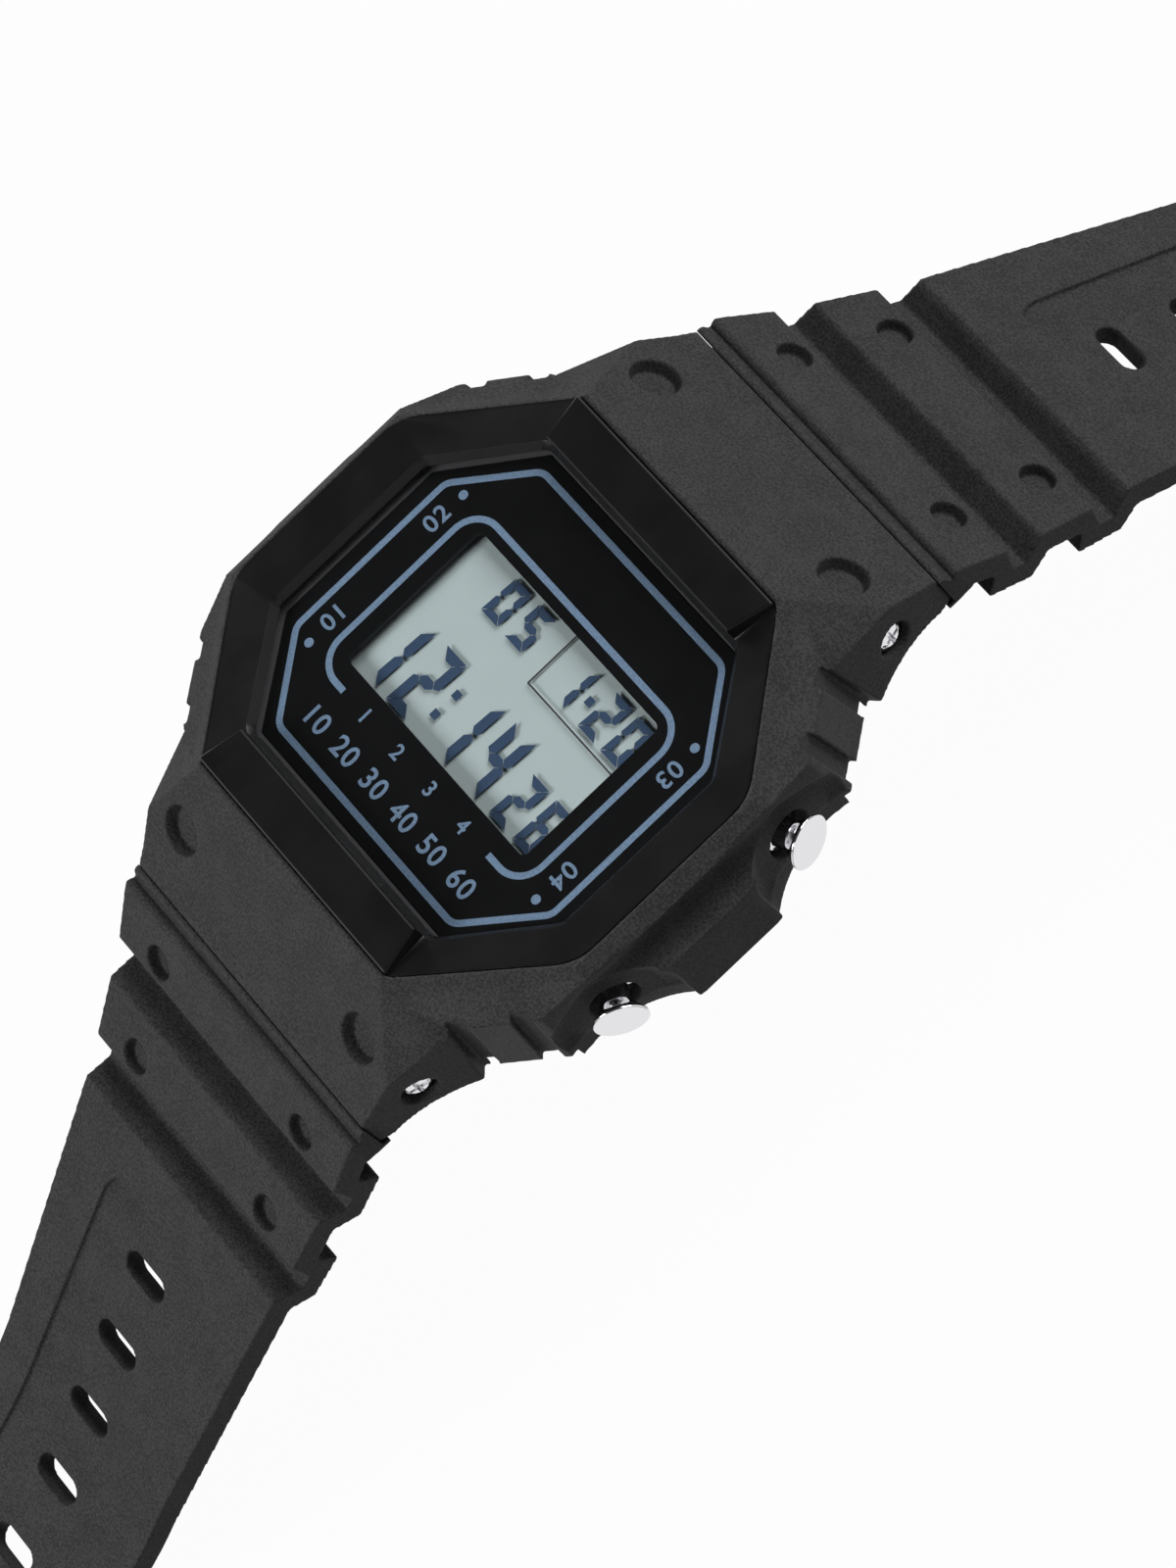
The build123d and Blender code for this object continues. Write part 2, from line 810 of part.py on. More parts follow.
def battery_tray():
    """Lower frame that centres the cell under the board."""
    tray = prism(module_plan(module_gap), battery_z, board_z)
    tray -= disc(battery_radius + fit_gap, battery_z - over, board_z + over)
    tray -= button_clearances(leaf_thickness)
    return tray


def battery_clip():
    """Sprung steel plate that holds the cell and feeds the sounder."""
    low = battery_z - clip_thickness
    plate = prism(module_plan(2 * module_gap), low, battery_z)
    plate -= disc(battery_radius - clip_arm, low - over, battery_z + over)
    arm = block(-clip_arm / 2, clip_arm / 2, -battery_radius, battery_radius, low, battery_z)
    plate += arm
    finger = block(-clip_arm / 4, clip_arm / 4, -clip_arm / 4, clip_arm / 4,
                   back_thickness + alarm_thickness, low)
    return plate + finger


def switch_contacts():
    """Four sprung leaves on the board, one behind each button's stem."""
    behind = stem_end() + button_travel + leaf_gap
    leaves = []
    for side in (1, -1):
        for end in (1, -1):
            spot = (button_place(side, end) * Pos(0, 0, -behind)).position
            heading = degrees(atan2(end * sin(radians(button_splay_deg)),
                                    side * cos(radians(button_splay_deg))))
            leaves.append(Pos(spot.X, spot.Y, board_top_z) * Rot(0, 0, heading) * switch_leaf())
    return Compound(leaves)


def switch_leaf():
    """One leaf: an upright across the stem's end and a foot on the board."""
    upright = Box(leaf_thickness, leaf_width, leaf_height,
                  align=(Align.MAX, Align.CENTER, Align.MIN))
    foot = Box(leaf_foot, leaf_width, leaf_thickness, align=(Align.MAX, Align.CENTER, Align.MIN))
    return upright + foot


def alarm_disc():
    """Sounder disc bonded inside the case back."""
    return disc(alarm_radius, back_thickness, back_thickness + alarm_thickness)


def case_back():
    """Steel back plate with countersunk screw holes."""
    plate = prism(back_outline(0), 0, back_thickness)
    plate = chamfer(plate.faces().sort_by(Axis.Z)[0].edges(), back_thickness / 4)
    seat = disc(back_screw_head + fit_gap, -over, back_screw_recess + fit_gap,
                back_screw_x, back_screw_y)
    plate -= four_corners(seat)
    plate -= back_screw_holes(back_screw_radius + fit_gap, -over, back_thickness + over)
    return plate


def case_back_gasket():
    """Gasket in the body's groove, pressed by the case back."""
    plan = seal_outline(seal_gap + seal_width) - seal_outline(seal_gap)
    return prism(plan, back_thickness, back_thickness + seal_height)


def cross_recess(size, depth):
    """Cross-shaped driver recess, cut down from a head's top at height zero."""
    bar = Box(2 * size, bezel_screw_slot, 2 * depth)
    return bar + Rot(0, 0, 90) * bar


def case_back_screws():
    """Four pan-head screws, their heads sunk in the case back."""
    low = back_screw_sink
    screw = disc(back_screw_head, low, back_screw_recess + fit_gap)
    screw += shank(back_screw_radius, back_screw_recess, back_screw_length)
    screw -= Pos(0, 0, low) * cross_recess(back_screw_head * cross_share, back_screw_recess / 2)
    return Compound(four_corners(Pos(back_screw_x, back_screw_y) * screw))


def bezel_screws():
    """Four cross-head screws through the shroud's facets into the lugs."""
    top = -bezel_screw_sink
    crown = [(0, top), (bezel_screw_head * crown_flat_share, top),
             (bezel_screw_head, top - bezel_screw_crown), (bezel_screw_head, -bezel_screw_seat),
             (0, -bezel_screw_seat)]
    place = bezel_screw_place()
    screw = lathe(crown, place)
    screw += place * shank(bezel_screw_radius, -bezel_screw_length, -bezel_screw_seat)
    screw -= place * Pos(0, 0, top) * cross_recess(bezel_screw_cross, bezel_screw_recess)
    return Compound(four_corners(screw))


def spring_bar():
    """Spring bar: a tube with a thinner tip sprung into each lug."""
    tube_half = strap_tongue_half + tongue_side_gap - bar_shoulder_gap
    tip_half = strap_tongue_half + tongue_side_gap + bar_tip_length - bar_shoulder_gap
    tube = rod(bar_radius, tube_half, pivot_y, pivot_z)
    return tube + rod(bar_tip_radius, tip_half, pivot_y, pivot_z)


def button():
    """Head with a flared underside, collar and grooved stem, turned about local Z."""
    seal = depth_to(body_half_x) + spring_seat_depth + seal_inset
    clip = clip_seat() + clip_offset
    stem = button_stem_radius
    edge = button_rim / 3
    neck_high = button_rim + button_flare_length
    neck_low = neck_high + button_neck_length
    return [(0, 0), (button_radius - edge, 0), (button_radius, -edge), (button_radius, -button_rim),
            (button_neck_radius, -neck_high), (button_neck_radius, -neck_low),
            (button_collar_radius, -neck_low),
            (button_collar_radius, -neck_low - button_collar_length),
            (stem, -neck_low - button_collar_length), (stem, -seal),
            (stem - seal_groove_depth, -seal), (stem - seal_groove_depth, -seal - seal_groove_width),
            (stem, -seal - seal_groove_width), (stem, -clip), (stem - clip_groove_depth, -clip),
            (stem - clip_groove_depth, -clip - clip_gauge), (stem, -clip - clip_gauge),
            (stem, -stem_end()), (0, -stem_end())]


def button_seal():
    """Ring seal in the stem's groove, as (radius, height) points."""
    top = -(depth_to(body_half_x) + spring_seat_depth + seal_inset)
    low = top - seal_groove_width
    inner = button_stem_radius - seal_groove_depth
    outer = button_stem_radius + seal_rise
    return [(inner, top), (outer, top), (outer, low), (inner, low)]


def button_clip(place):
    """Open clip that stops the stem at the cavity's wall."""
    top = -clip_seat() - clip_offset
    ring = Circle(clip_radius) - Circle(button_stem_radius - clip_groove_depth)
    ring -= Pos(clip_radius, 0) * Rectangle(2 * clip_radius, clip_mouth)
    return place * Pos(0, 0, top - clip_gauge) * extrude(ring, clip_gauge)


def button_spring(place):
    """Return spring round the stem, drawn at its pressed length, as a faceted coil."""
    seat = depth_to(body_half_x) + spring_seat_depth
    shoulder = button_rim + button_flare_length + button_neck_length + button_collar_length
    length = seat - shoulder - button_travel - spring_wire - 2 * fit_gap
    count = spring_turns * spring_sides
    points = []
    for i in range(count + 1):
        turn = 2 * pi * i / spring_sides
        points.append((spring_radius * cos(turn), spring_radius * sin(turn), length * i / count))
    coil = Polyline(*points)
    wire = Plane(points[0], z_dir=coil % 0) * Rectangle(spring_wire, spring_wire)
    low = spring_wire / 2 + fit_gap
    return place * Pos(0, 0, low - seat) * sweep(wire, path=coil, transition=Transition.RIGHT)


def strap_lengths(extra):
    """Lengths along the strap's outer face, each with its first and last slope."""
    one, gap_one, two, gap_two, panel = rib_slopes_deg
    return [(rib_one_length, one, one), (rib_gap_one, gap_one, gap_one), (rib_two_length, two, two),
            (rib_gap_two, gap_two, gap_two), (panel_length + extra, panel, panel),
            (bend_length, panel, 0), (2 * span, 0, 0)]


def on_strap(s, depth, extra):
    """The (y, z) point at length s along the strap, this deep under its face."""
    y, z = rib_start_y, rib_start_z
    for length, first, last in strap_lengths(extra):
        part = min(s, length)
        slope = first + (last - first) * part / length
        turn = radians(first - slope) / 2
        chord = part * sin(turn) / turn if turn else part
        y += chord * cos(radians(first + slope) / 2)
        z -= chord * sin(radians(first + slope) / 2)
        s -= part
        if s <= 0:
            break
    lean = radians(slope)
    return y - depth * sin(lean), z - depth * cos(lean)


def slope_at(s, extra):
    """Slope of the strap's face at length s, in degrees below level."""
    for length, first, last in strap_lengths(extra):
        if s <= length:
            return first + (last - first) * s / length
        s -= length
    return 0


short_end_s = panel_s + panel_length + bend_length + short_flat
short_end_y, short_top_z = on_strap(short_end_s, 0, 0)
buckle_pin_z = short_top_z - panel_thickness - keeper_gap - keeper_wall + buckle_barrel_radius
buckle_reach = hypot(buckle_length, buckle_thickness / 2)
buckle_tilt_deg = degrees(asin(buckle_barrel_radius / buckle_reach)
                          - atan2(buckle_thickness / 2, buckle_length))


def strap_face(extra, flat):
    """Side outline of a strap from its root to its end, as a face."""
    bend_s = panel_s + panel_length + extra
    flat_s = bend_s + bend_length
    end_s = flat_s + flat

    def at(s, depth):
        return on_strap(s, depth, extra)

    wall = (rib_gap_one - rib_groove_floor) / 2
    foot_z = skirt_bottom_z - root_foot_gap
    tops = [(root_y, root_top_z), (root_y + root_strip, root_top_z - root_strip_fall),
            (rib_start_y - root_groove_length, rib_start_z - root_groove), at(0, 0),
            at(rib_one_length, 0), at(rib_one_length + wall, rib_groove_depth),
            at(rib_two_s - wall, rib_groove_depth), at(rib_two_s, 0),
            at(rib_two_s + rib_two_length, 0),
            at(rib_two_s + rib_two_length + wall, rib_groove_depth),
            at(panel_s - wall, rib_groove_depth), at(panel_s, 0)]
    lows = [at(panel_s + wall, panel_thickness), at(panel_s, rib_depth),
            at(rib_two_s + rib_two_length - wall / 2, rib_depth),
            at(rib_two_s + rib_two_length - wall / 2, web_depth),
            at(rib_two_s + wall, web_depth), at(rib_two_s, rib_depth),
            at(rib_one_length - wall / 2, rib_depth), at(rib_one_length - wall / 2, web_depth),
            at(rib_one_length / 2, web_depth), (root_y, foot_z - root_foot_height),
            (root_foot_y, foot_z - root_foot_height), (root_foot_y, foot_z), (root_y, foot_z)]
    mid_s = (bend_s + flat_s) / 2
    face = make_face([
        Polyline(*lows, *tops),
        Line(tops[-1], at(bend_s, 0)),
        ThreePointArc(at(bend_s, 0), at(mid_s, 0), at(flat_s, 0)),
        Line(at(flat_s, 0), at(end_s, 0)),
        Line(at(end_s, 0), at(end_s, panel_thickness)),
        Line(at(end_s, panel_thickness), at(flat_s, panel_thickness)),
        ThreePointArc(at(flat_s, panel_thickness), at(mid_s, panel_thickness),
                      at(bend_s, panel_thickness)),
        Line(at(bend_s, panel_thickness), lows[0]),
    ])
    groove = [v for v in face.vertices() if root_y < v.X - root_soft and v.X < rib_start_y - root_soft]
    face = fillet(groove, root_soft)
    lead = [v for v in face.vertices() if abs(v.X - rib_start_y) < fit_gap]
    face = fillet(lead, rib_lead_soft)
    bends = [v for v in face.vertices() if v.X > rib_start_y + rib_lead_soft or v.Y < 0]
    return fillet([v for v in bends if v.X < tops[-1][0] + rib_soft], rib_soft), end_s


def strap_plan(end_y, tip):
    """Plan outline of a strap, tapering from its root to its tip."""
    panel_y = on_strap(panel_s, 0, 0)[0]
    mid_y = on_strap(panel_s + panel_length, 0, 0)[0]
    side = [(root_half, root_foot_y), (root_half, rib_start_y), (panel_half, panel_y),
            (panel_mid_half, mid_y), (tip_half, mid_y + bend_radius / 2), (tip_half, end_y)]
    points = side + [(-x, y) for x, y in reversed(side)]
    face = make_face(Polyline(*points, close=True))
    if tip:
        face = fillet(face.vertices().sort_by(Axis.Y)[-2:], tip)
    return face


def strap_root():
    """Barrel round the spring bar and the tongue that joins it to the strap."""
    barrel = rod(barrel_radius, strap_tongue_half, pivot_y, pivot_z)
    lip_roof = lip_z - lip_wall - roof_gap
    joined_y = root_y + root_overlap
    outline = [(pivot_y, pivot_z - barrel_radius), (joined_y, root_bottom_z),
               (joined_y, lip_roof), (lip_y - roof_run, lip_roof),
               (pivot_y + roof_run, pivot_z + barrel_radius * roof_share),
               (pivot_y, pivot_z + barrel_radius)]
    return barrel + side_prism(outline, strap_tongue_half)


def face_place(s, x, extra):
    """Place on the strap's outer face, with Z out of the face and X across it."""
    y, z = on_strap(s, 0, extra)
    turn = radians(slope_at(s, extra))
    return Plane((x, y, z), x_dir=(1, 0, 0), z_dir=(0, sin(turn), cos(turn))).location


def channel_cut(extra, end_s):
    """Shallow channel down the middle of the strap's face."""
    bend_s = panel_s + panel_length + extra
    flat_s = bend_s + bend_length
    first = panel_s + channel_start
    last = end_s - channel_end_gap
    up = -over

    def at(s, depth):
        return on_strap(s, depth, extra)

    mid = (bend_s + flat_s) / 2
    band = make_face([
        Line(at(first, up), at(first, channel_depth)),
        Line(at(first, channel_depth), at(bend_s, channel_depth)),
        ThreePointArc(at(bend_s, channel_depth), at(mid, channel_depth), at(flat_s, channel_depth)),
        Line(at(flat_s, channel_depth), at(last, channel_depth)),
        Line(at(last, channel_depth), at(last, up)),
        Line(at(last, up), at(flat_s, up)),
        ThreePointArc(at(flat_s, up), at(mid, up), at(bend_s, up)),
        Line(at(bend_s, up), at(first, up)),
    ])
    solid = extrude(Plane.YZ * band, channel_half, both=True)
    first_y = at(first, channel_depth)[0]
    last_y = at(last, 0)[0]
    plan = Pos(0, (first_y + last_y) / 2) * Rectangle(2 * channel_half, last_y - first_y)
    return solid & Pos(0, 0, -span) * extrude(fillet(plan.vertices(), channel_corner), 2 * span)


def slot_cuts(extra, count):
    """Row of stadium slots across the channel."""
    slot = SlotOverall(2 * slot_half_length, 2 * slot_half_width)
    cutter = extrude(slot, panel_thickness + over, both=True)
    places = [face_place(panel_s + slot_start + i * slot_pitch, 0, extra) for i in range(count)]
    return [place * cutter for place in places]


def dimple_cuts():
    """Round dimples near the ends of both ribs."""
    cuts = []
    for middle in (rib_one_length / 2, rib_two_s + rib_two_length / 2):
        s = middle + strap_dimple_shift
        y = on_strap(s, 0, 0)[0]
        share = (y - rib_start_y) / (on_strap(panel_s, 0, 0)[0] - rib_start_y)
        half = root_half + (panel_half - root_half) * share
        for side in (1, -1):
            place = face_place(s, side * half * strap_dimple_share, 0)
            cuts.append(place * cone_cut(strap_dimple_radius, strap_dimple_floor,
                                         strap_dimple_depth))
    return cuts


def strap(extra, flat, count, tip):
    """A strap on the 12 o'clock side, with its ribs, channel and slots."""
    face, end_s = strap_face(extra, flat)
    end_y = on_strap(end_s, 0, extra)[0]
    solid = extrude(Plane.YZ * face, root_half + over, both=True)
    solid &= Pos(0, 0, -span) * extrude(strap_plan(end_y, tip), 2 * span)
    solid += strap_root()
    solid -= rod(bar_radius + fit_gap, span, pivot_y, pivot_z)
    solid -= dimple_cuts()
    solid -= channel_cut(extra, end_s)
    solid -= slot_cuts(extra, count)
    return solid


def strap_12():
    """Short strap, with the buckle's barrel at its end."""
    solid = strap(0, short_flat, short_slot_count, 0)
    solid += rod(buckle_barrel_radius, tip_half, short_end_y, buckle_pin_z)
    solid -= rod(buckle_bar_radius + fit_gap, span, short_end_y, buckle_pin_z)
    reach = buckle_barrel_radius + fit_gap
    solid -= block(-buckle_slot_half, buckle_slot_half, short_end_y - buckle_slot_back,
                   short_end_y + reach, buckle_pin_z - reach, buckle_pin_z + reach)
    return solid


def strap_6():
    """Long strap, with a rounded tip and holes for the buckle's tongue."""
    return mirror(strap(long_extra, long_flat, long_slot_count, tip_radius), Plane.XZ)


def buckle_pin():
    """Bar through the strap's end that carries the frame and tongue."""
    pin = rod(buckle_bar_radius, tip_half, short_end_y, buckle_pin_z)
    tips = rod(bar_tip_radius, buckle_inner_half + pin_tip_length, short_end_y, buckle_pin_z)
    return pin + tips


def laid_down(solid):
    """A piece of the buckle turned about the pin until the frame's front is down."""
    pin = Axis((0, short_end_y, buckle_pin_z), (1, 0, 0))
    return solid.rotate(pin, -buckle_tilt_deg)


def buckle_frame():
    """Steel frame of the buckle, open in the middle."""
    outer_half = buckle_inner_half + buckle_arm_width
    y0 = short_end_y - buckle_arm_back
    y1 = short_end_y + buckle_length
    plan = Pos(0, (y0 + y1) / 2) * Rectangle(2 * outer_half, y1 - y0)
    plan = fillet(plan.vertices(), buckle_corner)
    low = buckle_pin_z - buckle_thickness / 2
    frame = prism(plan, low, low + buckle_thickness)
    frame = chamfer(frame.faces().sort_by(Axis.Z)[-1].edges(), buckle_edge)
    hole = make_face(Polyline((-buckle_inner_half, y0 - over), (buckle_inner_half, y0 - over),
                              (buckle_inner_half, y1 - buckle_front_width),
                              (-buckle_inner_half, y1 - buckle_front_width), close=True))
    frame -= prism(hole, low - over, low + buckle_thickness + over)
    seat_half = tongue_half_width + tongue_rest_gap
    frame -= block(-seat_half, seat_half, y1 - buckle_front_width - over, y1 + over,
                   low + buckle_thickness - tongue_thickness / 3, low + buckle_thickness + over)
    frame -= rod(bar_tip_radius + fit_gap, buckle_inner_half + pin_tip_length + fit_gap,
                 short_end_y, buckle_pin_z)
    return laid_down(frame)


def buckle_tongue():
    """Tongue hooked round the pin, its tip resting in the frame's notch."""
    loop = rod(tongue_loop_radius, tongue_half_width, short_end_y, buckle_pin_z)
    rest_z = buckle_pin_z + buckle_thickness / 2 - tongue_thickness / 3 + tongue_rest_gap
    end_y = short_end_y + buckle_length + tongue_overhang
    outline = [(short_end_y, rest_z), (end_y, rest_z), (end_y, rest_z + tongue_thickness / 2),
               (end_y - tongue_thickness, rest_z + tongue_thickness),
               (short_end_y + tongue_loop_radius, rest_z + tongue_thickness),
               (short_end_y, buckle_pin_z + tongue_loop_radius)]
    tongue = loop + side_prism(outline, tongue_half_width)
    tongue -= rod(buckle_bar_radius + fit_gap, span, short_end_y, buckle_pin_z)
    return laid_down(tongue)


def strap_keeper():
    """Resin loop that slides on the short strap's flat end."""
    y = short_end_y - short_flat + keeper_slack
    half = tip_half + keeper_gap
    low = short_top_z - panel_thickness - keeper_gap
    high = short_top_z + keeper_room
    middle = (low + high) / 2
    inner = Rectangle(2 * half, high - low)
    outer = Rectangle(2 * (half + keeper_wall), high - low + 2 * keeper_wall)
    outer = fillet(outer.vertices(), keeper_corner + keeper_wall)
    ring = outer - fillet(inner.vertices(), keeper_corner / 2)
    return Pos(0, y + keeper_width, middle) * extrude(Plane.XZ * ring, keeper_width)


def write(name, shape):
    """Save one sub-part as a STEP file."""
    export_step(shape, "parts/" + name + ".step")


def main():
    """Build every sub-part and save it."""
    os.makedirs("parts", exist_ok=True)
    makers = [case_body, bezel_shroud, bezel_ring, crystal, crystal_gasket, dial_mask, lcd_panel,
              light_guide, backlight_lamp, contact_strips, module_holder, circuit_board, chip,
              timing_can, switch_contacts, battery, battery_tray, battery_clip, alarm_disc,
              case_back, case_back_gasket, case_back_screws, bezel_screws, strap_12, strap_6,
              buckle_pin, buckle_frame, buckle_tongue, strap_keeper]
    for maker in makers:
        write(maker.__name__, maker())
    bar_12, bar_6 = both_ends(spring_bar())
    write("spring_bar_12", bar_12)
    write("spring_bar_6", bar_6)
    corners = {"mode": (-1, -1), "reset": (-1, 1), "light": (1, 1), "start": (1, -1)}
    for name, (side, end) in corners.items():
        place = button_place(side, end)
        write("button_" + name, lathe(button(), place))
        write("button_seal_" + name, lathe(button_seal(), place))
        write("button_clip_" + name, button_clip(place))
        write("button_spring_" + name, button_spring(place))


main()
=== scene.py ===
from math import cos, pi, radians, sin

import bmesh
import bpy
from bpy.props import FloatProperty, FloatVectorProperty, IntProperty, PointerProperty
from mathutils import Matrix, Vector


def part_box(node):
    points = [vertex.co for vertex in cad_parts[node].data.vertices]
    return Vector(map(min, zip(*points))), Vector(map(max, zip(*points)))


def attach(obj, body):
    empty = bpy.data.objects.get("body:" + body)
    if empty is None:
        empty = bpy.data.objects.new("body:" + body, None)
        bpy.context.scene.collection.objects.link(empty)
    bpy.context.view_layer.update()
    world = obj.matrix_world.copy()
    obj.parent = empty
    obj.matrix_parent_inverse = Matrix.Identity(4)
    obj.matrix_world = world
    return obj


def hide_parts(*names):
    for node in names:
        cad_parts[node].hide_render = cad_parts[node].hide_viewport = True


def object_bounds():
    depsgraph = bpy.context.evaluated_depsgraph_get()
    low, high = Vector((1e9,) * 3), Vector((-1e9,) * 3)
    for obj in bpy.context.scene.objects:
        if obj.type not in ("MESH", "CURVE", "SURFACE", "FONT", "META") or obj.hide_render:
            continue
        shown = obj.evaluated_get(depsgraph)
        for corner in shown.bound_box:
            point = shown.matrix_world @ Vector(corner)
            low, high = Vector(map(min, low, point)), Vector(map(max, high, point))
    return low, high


bl_info = {
    "name": "Digital Watch Dresser",
    "version": (1, 0, 0),
    "blender": (4, 5, 0),
    "location": "View3D > Sidebar > Watch",
    "description": "Finishes, printed face, display and studio for a resin digital watch",
    "category": "Object",
}

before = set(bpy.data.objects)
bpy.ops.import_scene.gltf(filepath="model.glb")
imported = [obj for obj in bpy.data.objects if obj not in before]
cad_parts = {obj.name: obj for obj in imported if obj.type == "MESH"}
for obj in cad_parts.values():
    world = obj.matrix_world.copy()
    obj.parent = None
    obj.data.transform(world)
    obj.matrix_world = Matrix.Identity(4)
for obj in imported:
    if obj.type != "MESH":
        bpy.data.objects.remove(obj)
cad_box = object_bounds()

MM = 0.001
CASE = "case"
BUTTONS = ("mode", "reset", "light", "start")

# The camera's picture height in pixels, its sensor in millimetres and its range in metres
PICTURE_HEIGHT = 1600
SENSOR = 36.0
NEAR = 0.01
FAR = 20.0

# The print, in millimetres from the face's centre: x towards 3 o'clock, y towards 12
SIDE_X, SIDE_Y = 14.1, 6.55
END_X, END_Y = 9.67, 11.56
OUTER_STROKE = ((SIDE_X, SIDE_Y), (END_X, END_Y), (-END_X, END_Y), (-SIDE_X, SIDE_Y),
                (-SIDE_X, -SIDE_Y), (-END_X, -END_Y), (END_X, -END_Y), (SIDE_X, -SIDE_Y))
OUTER_CORNER = 1.2
INNER_X, INNER_LOW, INNER_HIGH = 11.15, -7.05, 7.08
INNER_START, INNER_END = -8.11, 7.84
INNER_STROKE = ((INNER_START, INNER_LOW), (-INNER_X, INNER_LOW), (-INNER_X, INNER_HIGH),
                (INNER_X, INNER_HIGH), (INNER_X, INNER_LOW), (INNER_END, INNER_LOW))
DOT_X, DOT_HIGH, DOT_LOW = 12.53, 6.87, -6.65
DOTS = ((DOT_X, DOT_HIGH), (DOT_X, DOT_LOW), (-DOT_X, DOT_HIGH), (-DOT_X, DOT_LOW))
DOT_RADIUS = 0.33
# Points round a corner of a printed line, and round a dot
CORNER_POINTS = 12
DOT_SIDES = 48
# A plain number beside each dot: its text, place and turn in degrees
LABELS = (("01", -12.6, -4.4, 90), ("02", -12.6, 4.6, 90), ("03", 12.6, 4.6, -90),
          ("04", 12.6, -4.4, -90))
LABEL_SIZE = 1.75
# Two rows of plain numbers: their texts, size, first place, step and height on the face
NUMBER_ROWS = ((("10", "20", "30", "40", "50", "60"), 2.0, -8.0, 3.2, -9.55),
               (("1", "2", "3", "4"), 1.5, -5.7, 3.6, -7.1))
# Space between numerals and how much they are thickened, as shares of their size
LETTER_SPACE = 1.12
LETTER_WEIGHT = 0.018

# The display, in millimetres from the face's centre. A row of digits has its foot, the width,
# height and stroke of its digits, and each digit's text and the left end of its cell
DIGIT_ROWS = (((-5.42, 2.2, 5.15, 0.74), (("1", -9.45), ("2", -6.1), ("1", -1.75), ("4", 1.55))),
              ((-5.35, 1.8, 3.7, 0.58), (("2", 5.15), ("6", 7.7))),
              ((2.8, 1.8, 2.95, 0.54), (("0", -6.0), ("5", -3.4))),
              ((2.4, 1.8, 3.2, 0.54), (("1", 1.65), ("2", 5.05), ("0", 7.45))))
SEGMENTS = {"0": "abcdef", "1": "bc", "2": "abdeg", "4": "bcfg", "5": "acdfg", "6": "acdefg"}
SEGMENT_GAP = 0.035
# Where an upright bar's outer edge ends, as a share of half a stroke off the digit's middle
SEGMENT_SHOULDER = 0.6
# The colon's two squares and the dash of the date
SQUARES = ((-2.7, -3.75), (-2.6, -1.95), (4.45, 3.95))
SQUARE_HALF = 0.3
# The thin line round the date
DATE_LINE = ((0.34, 6.2), (0.34, 1.9), (9.9, 1.9))
DATE_LINE_WIDTH = 0.13
DATE_LINE_CORNER = 0.01
# How far the reflector stays inside the display's glass
DISPLAY_EDGE = 0.05

# The dimples of a piece, in millimetres: radius of the floor, radius of the rim and depth
SHROUD_DIMPLE = (1.15, 1.75, 0.55)
STRAP_DIMPLE = (0.85, 1.25, 0.5)
DIMPLE_COUNT = 4
# A floor is a face of many corners whose area is nearly that of its circle
FLOOR_CORNERS = 30
FLOOR_AREA = (0.98, 1.01)
# How far below a floor, in millimetres, the softened resin may lie
FLOOR_SLACK = 0.2

# How a node's triangles are merged: distance in millimetres and angle in degrees
MERGE_DISTANCE = 0.0005
MERGE_ANGLE = 0.6
# The least angle, in degrees, at which an edge is broken
SHARP_ANGLE = 28

# Metals: colour, roughness, pull of the marks along x, and their depth in millimetres
METALS = {"polished_steel": ((0.82, 0.82, 0.82), 0.1, 1.0, 0.003),
          "brushed_steel": ((0.56, 0.56, 0.57), 0.28, 0.05, 0.01),
          "turned_steel": ((0.5, 0.5, 0.5), 0.3, 1.0, 0.003),
          "buckle_steel": ((0.42, 0.42, 0.43), 0.3, 0.1, 0.008),
          "cell_steel": ((0.62, 0.62, 0.63), 0.22, 1.0, 0.003),
          "contact_brass": ((0.7, 0.5, 0.22), 0.25, 1.0, 0.003)}
# Plastics and rubber: colour and roughness
PLASTICS = {"case_plastic": ((0.03, 0.03, 0.032), 0.5),
            "seal_rubber": ((0.012, 0.012, 0.012), 0.6),
            "module_plastic": ((0.1, 0.1, 0.105), 0.5),
            "chip_resin": ((0.01, 0.01, 0.01), 0.3),
            "clear_plastic": ((0.7, 0.74, 0.74), 0.2)}
WHITE = (1.0, 1.0, 1.0, 1.0)


def crystal_low():
    """Height of the crystal's lower face, where the print lies."""
    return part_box("crystal")[0].z


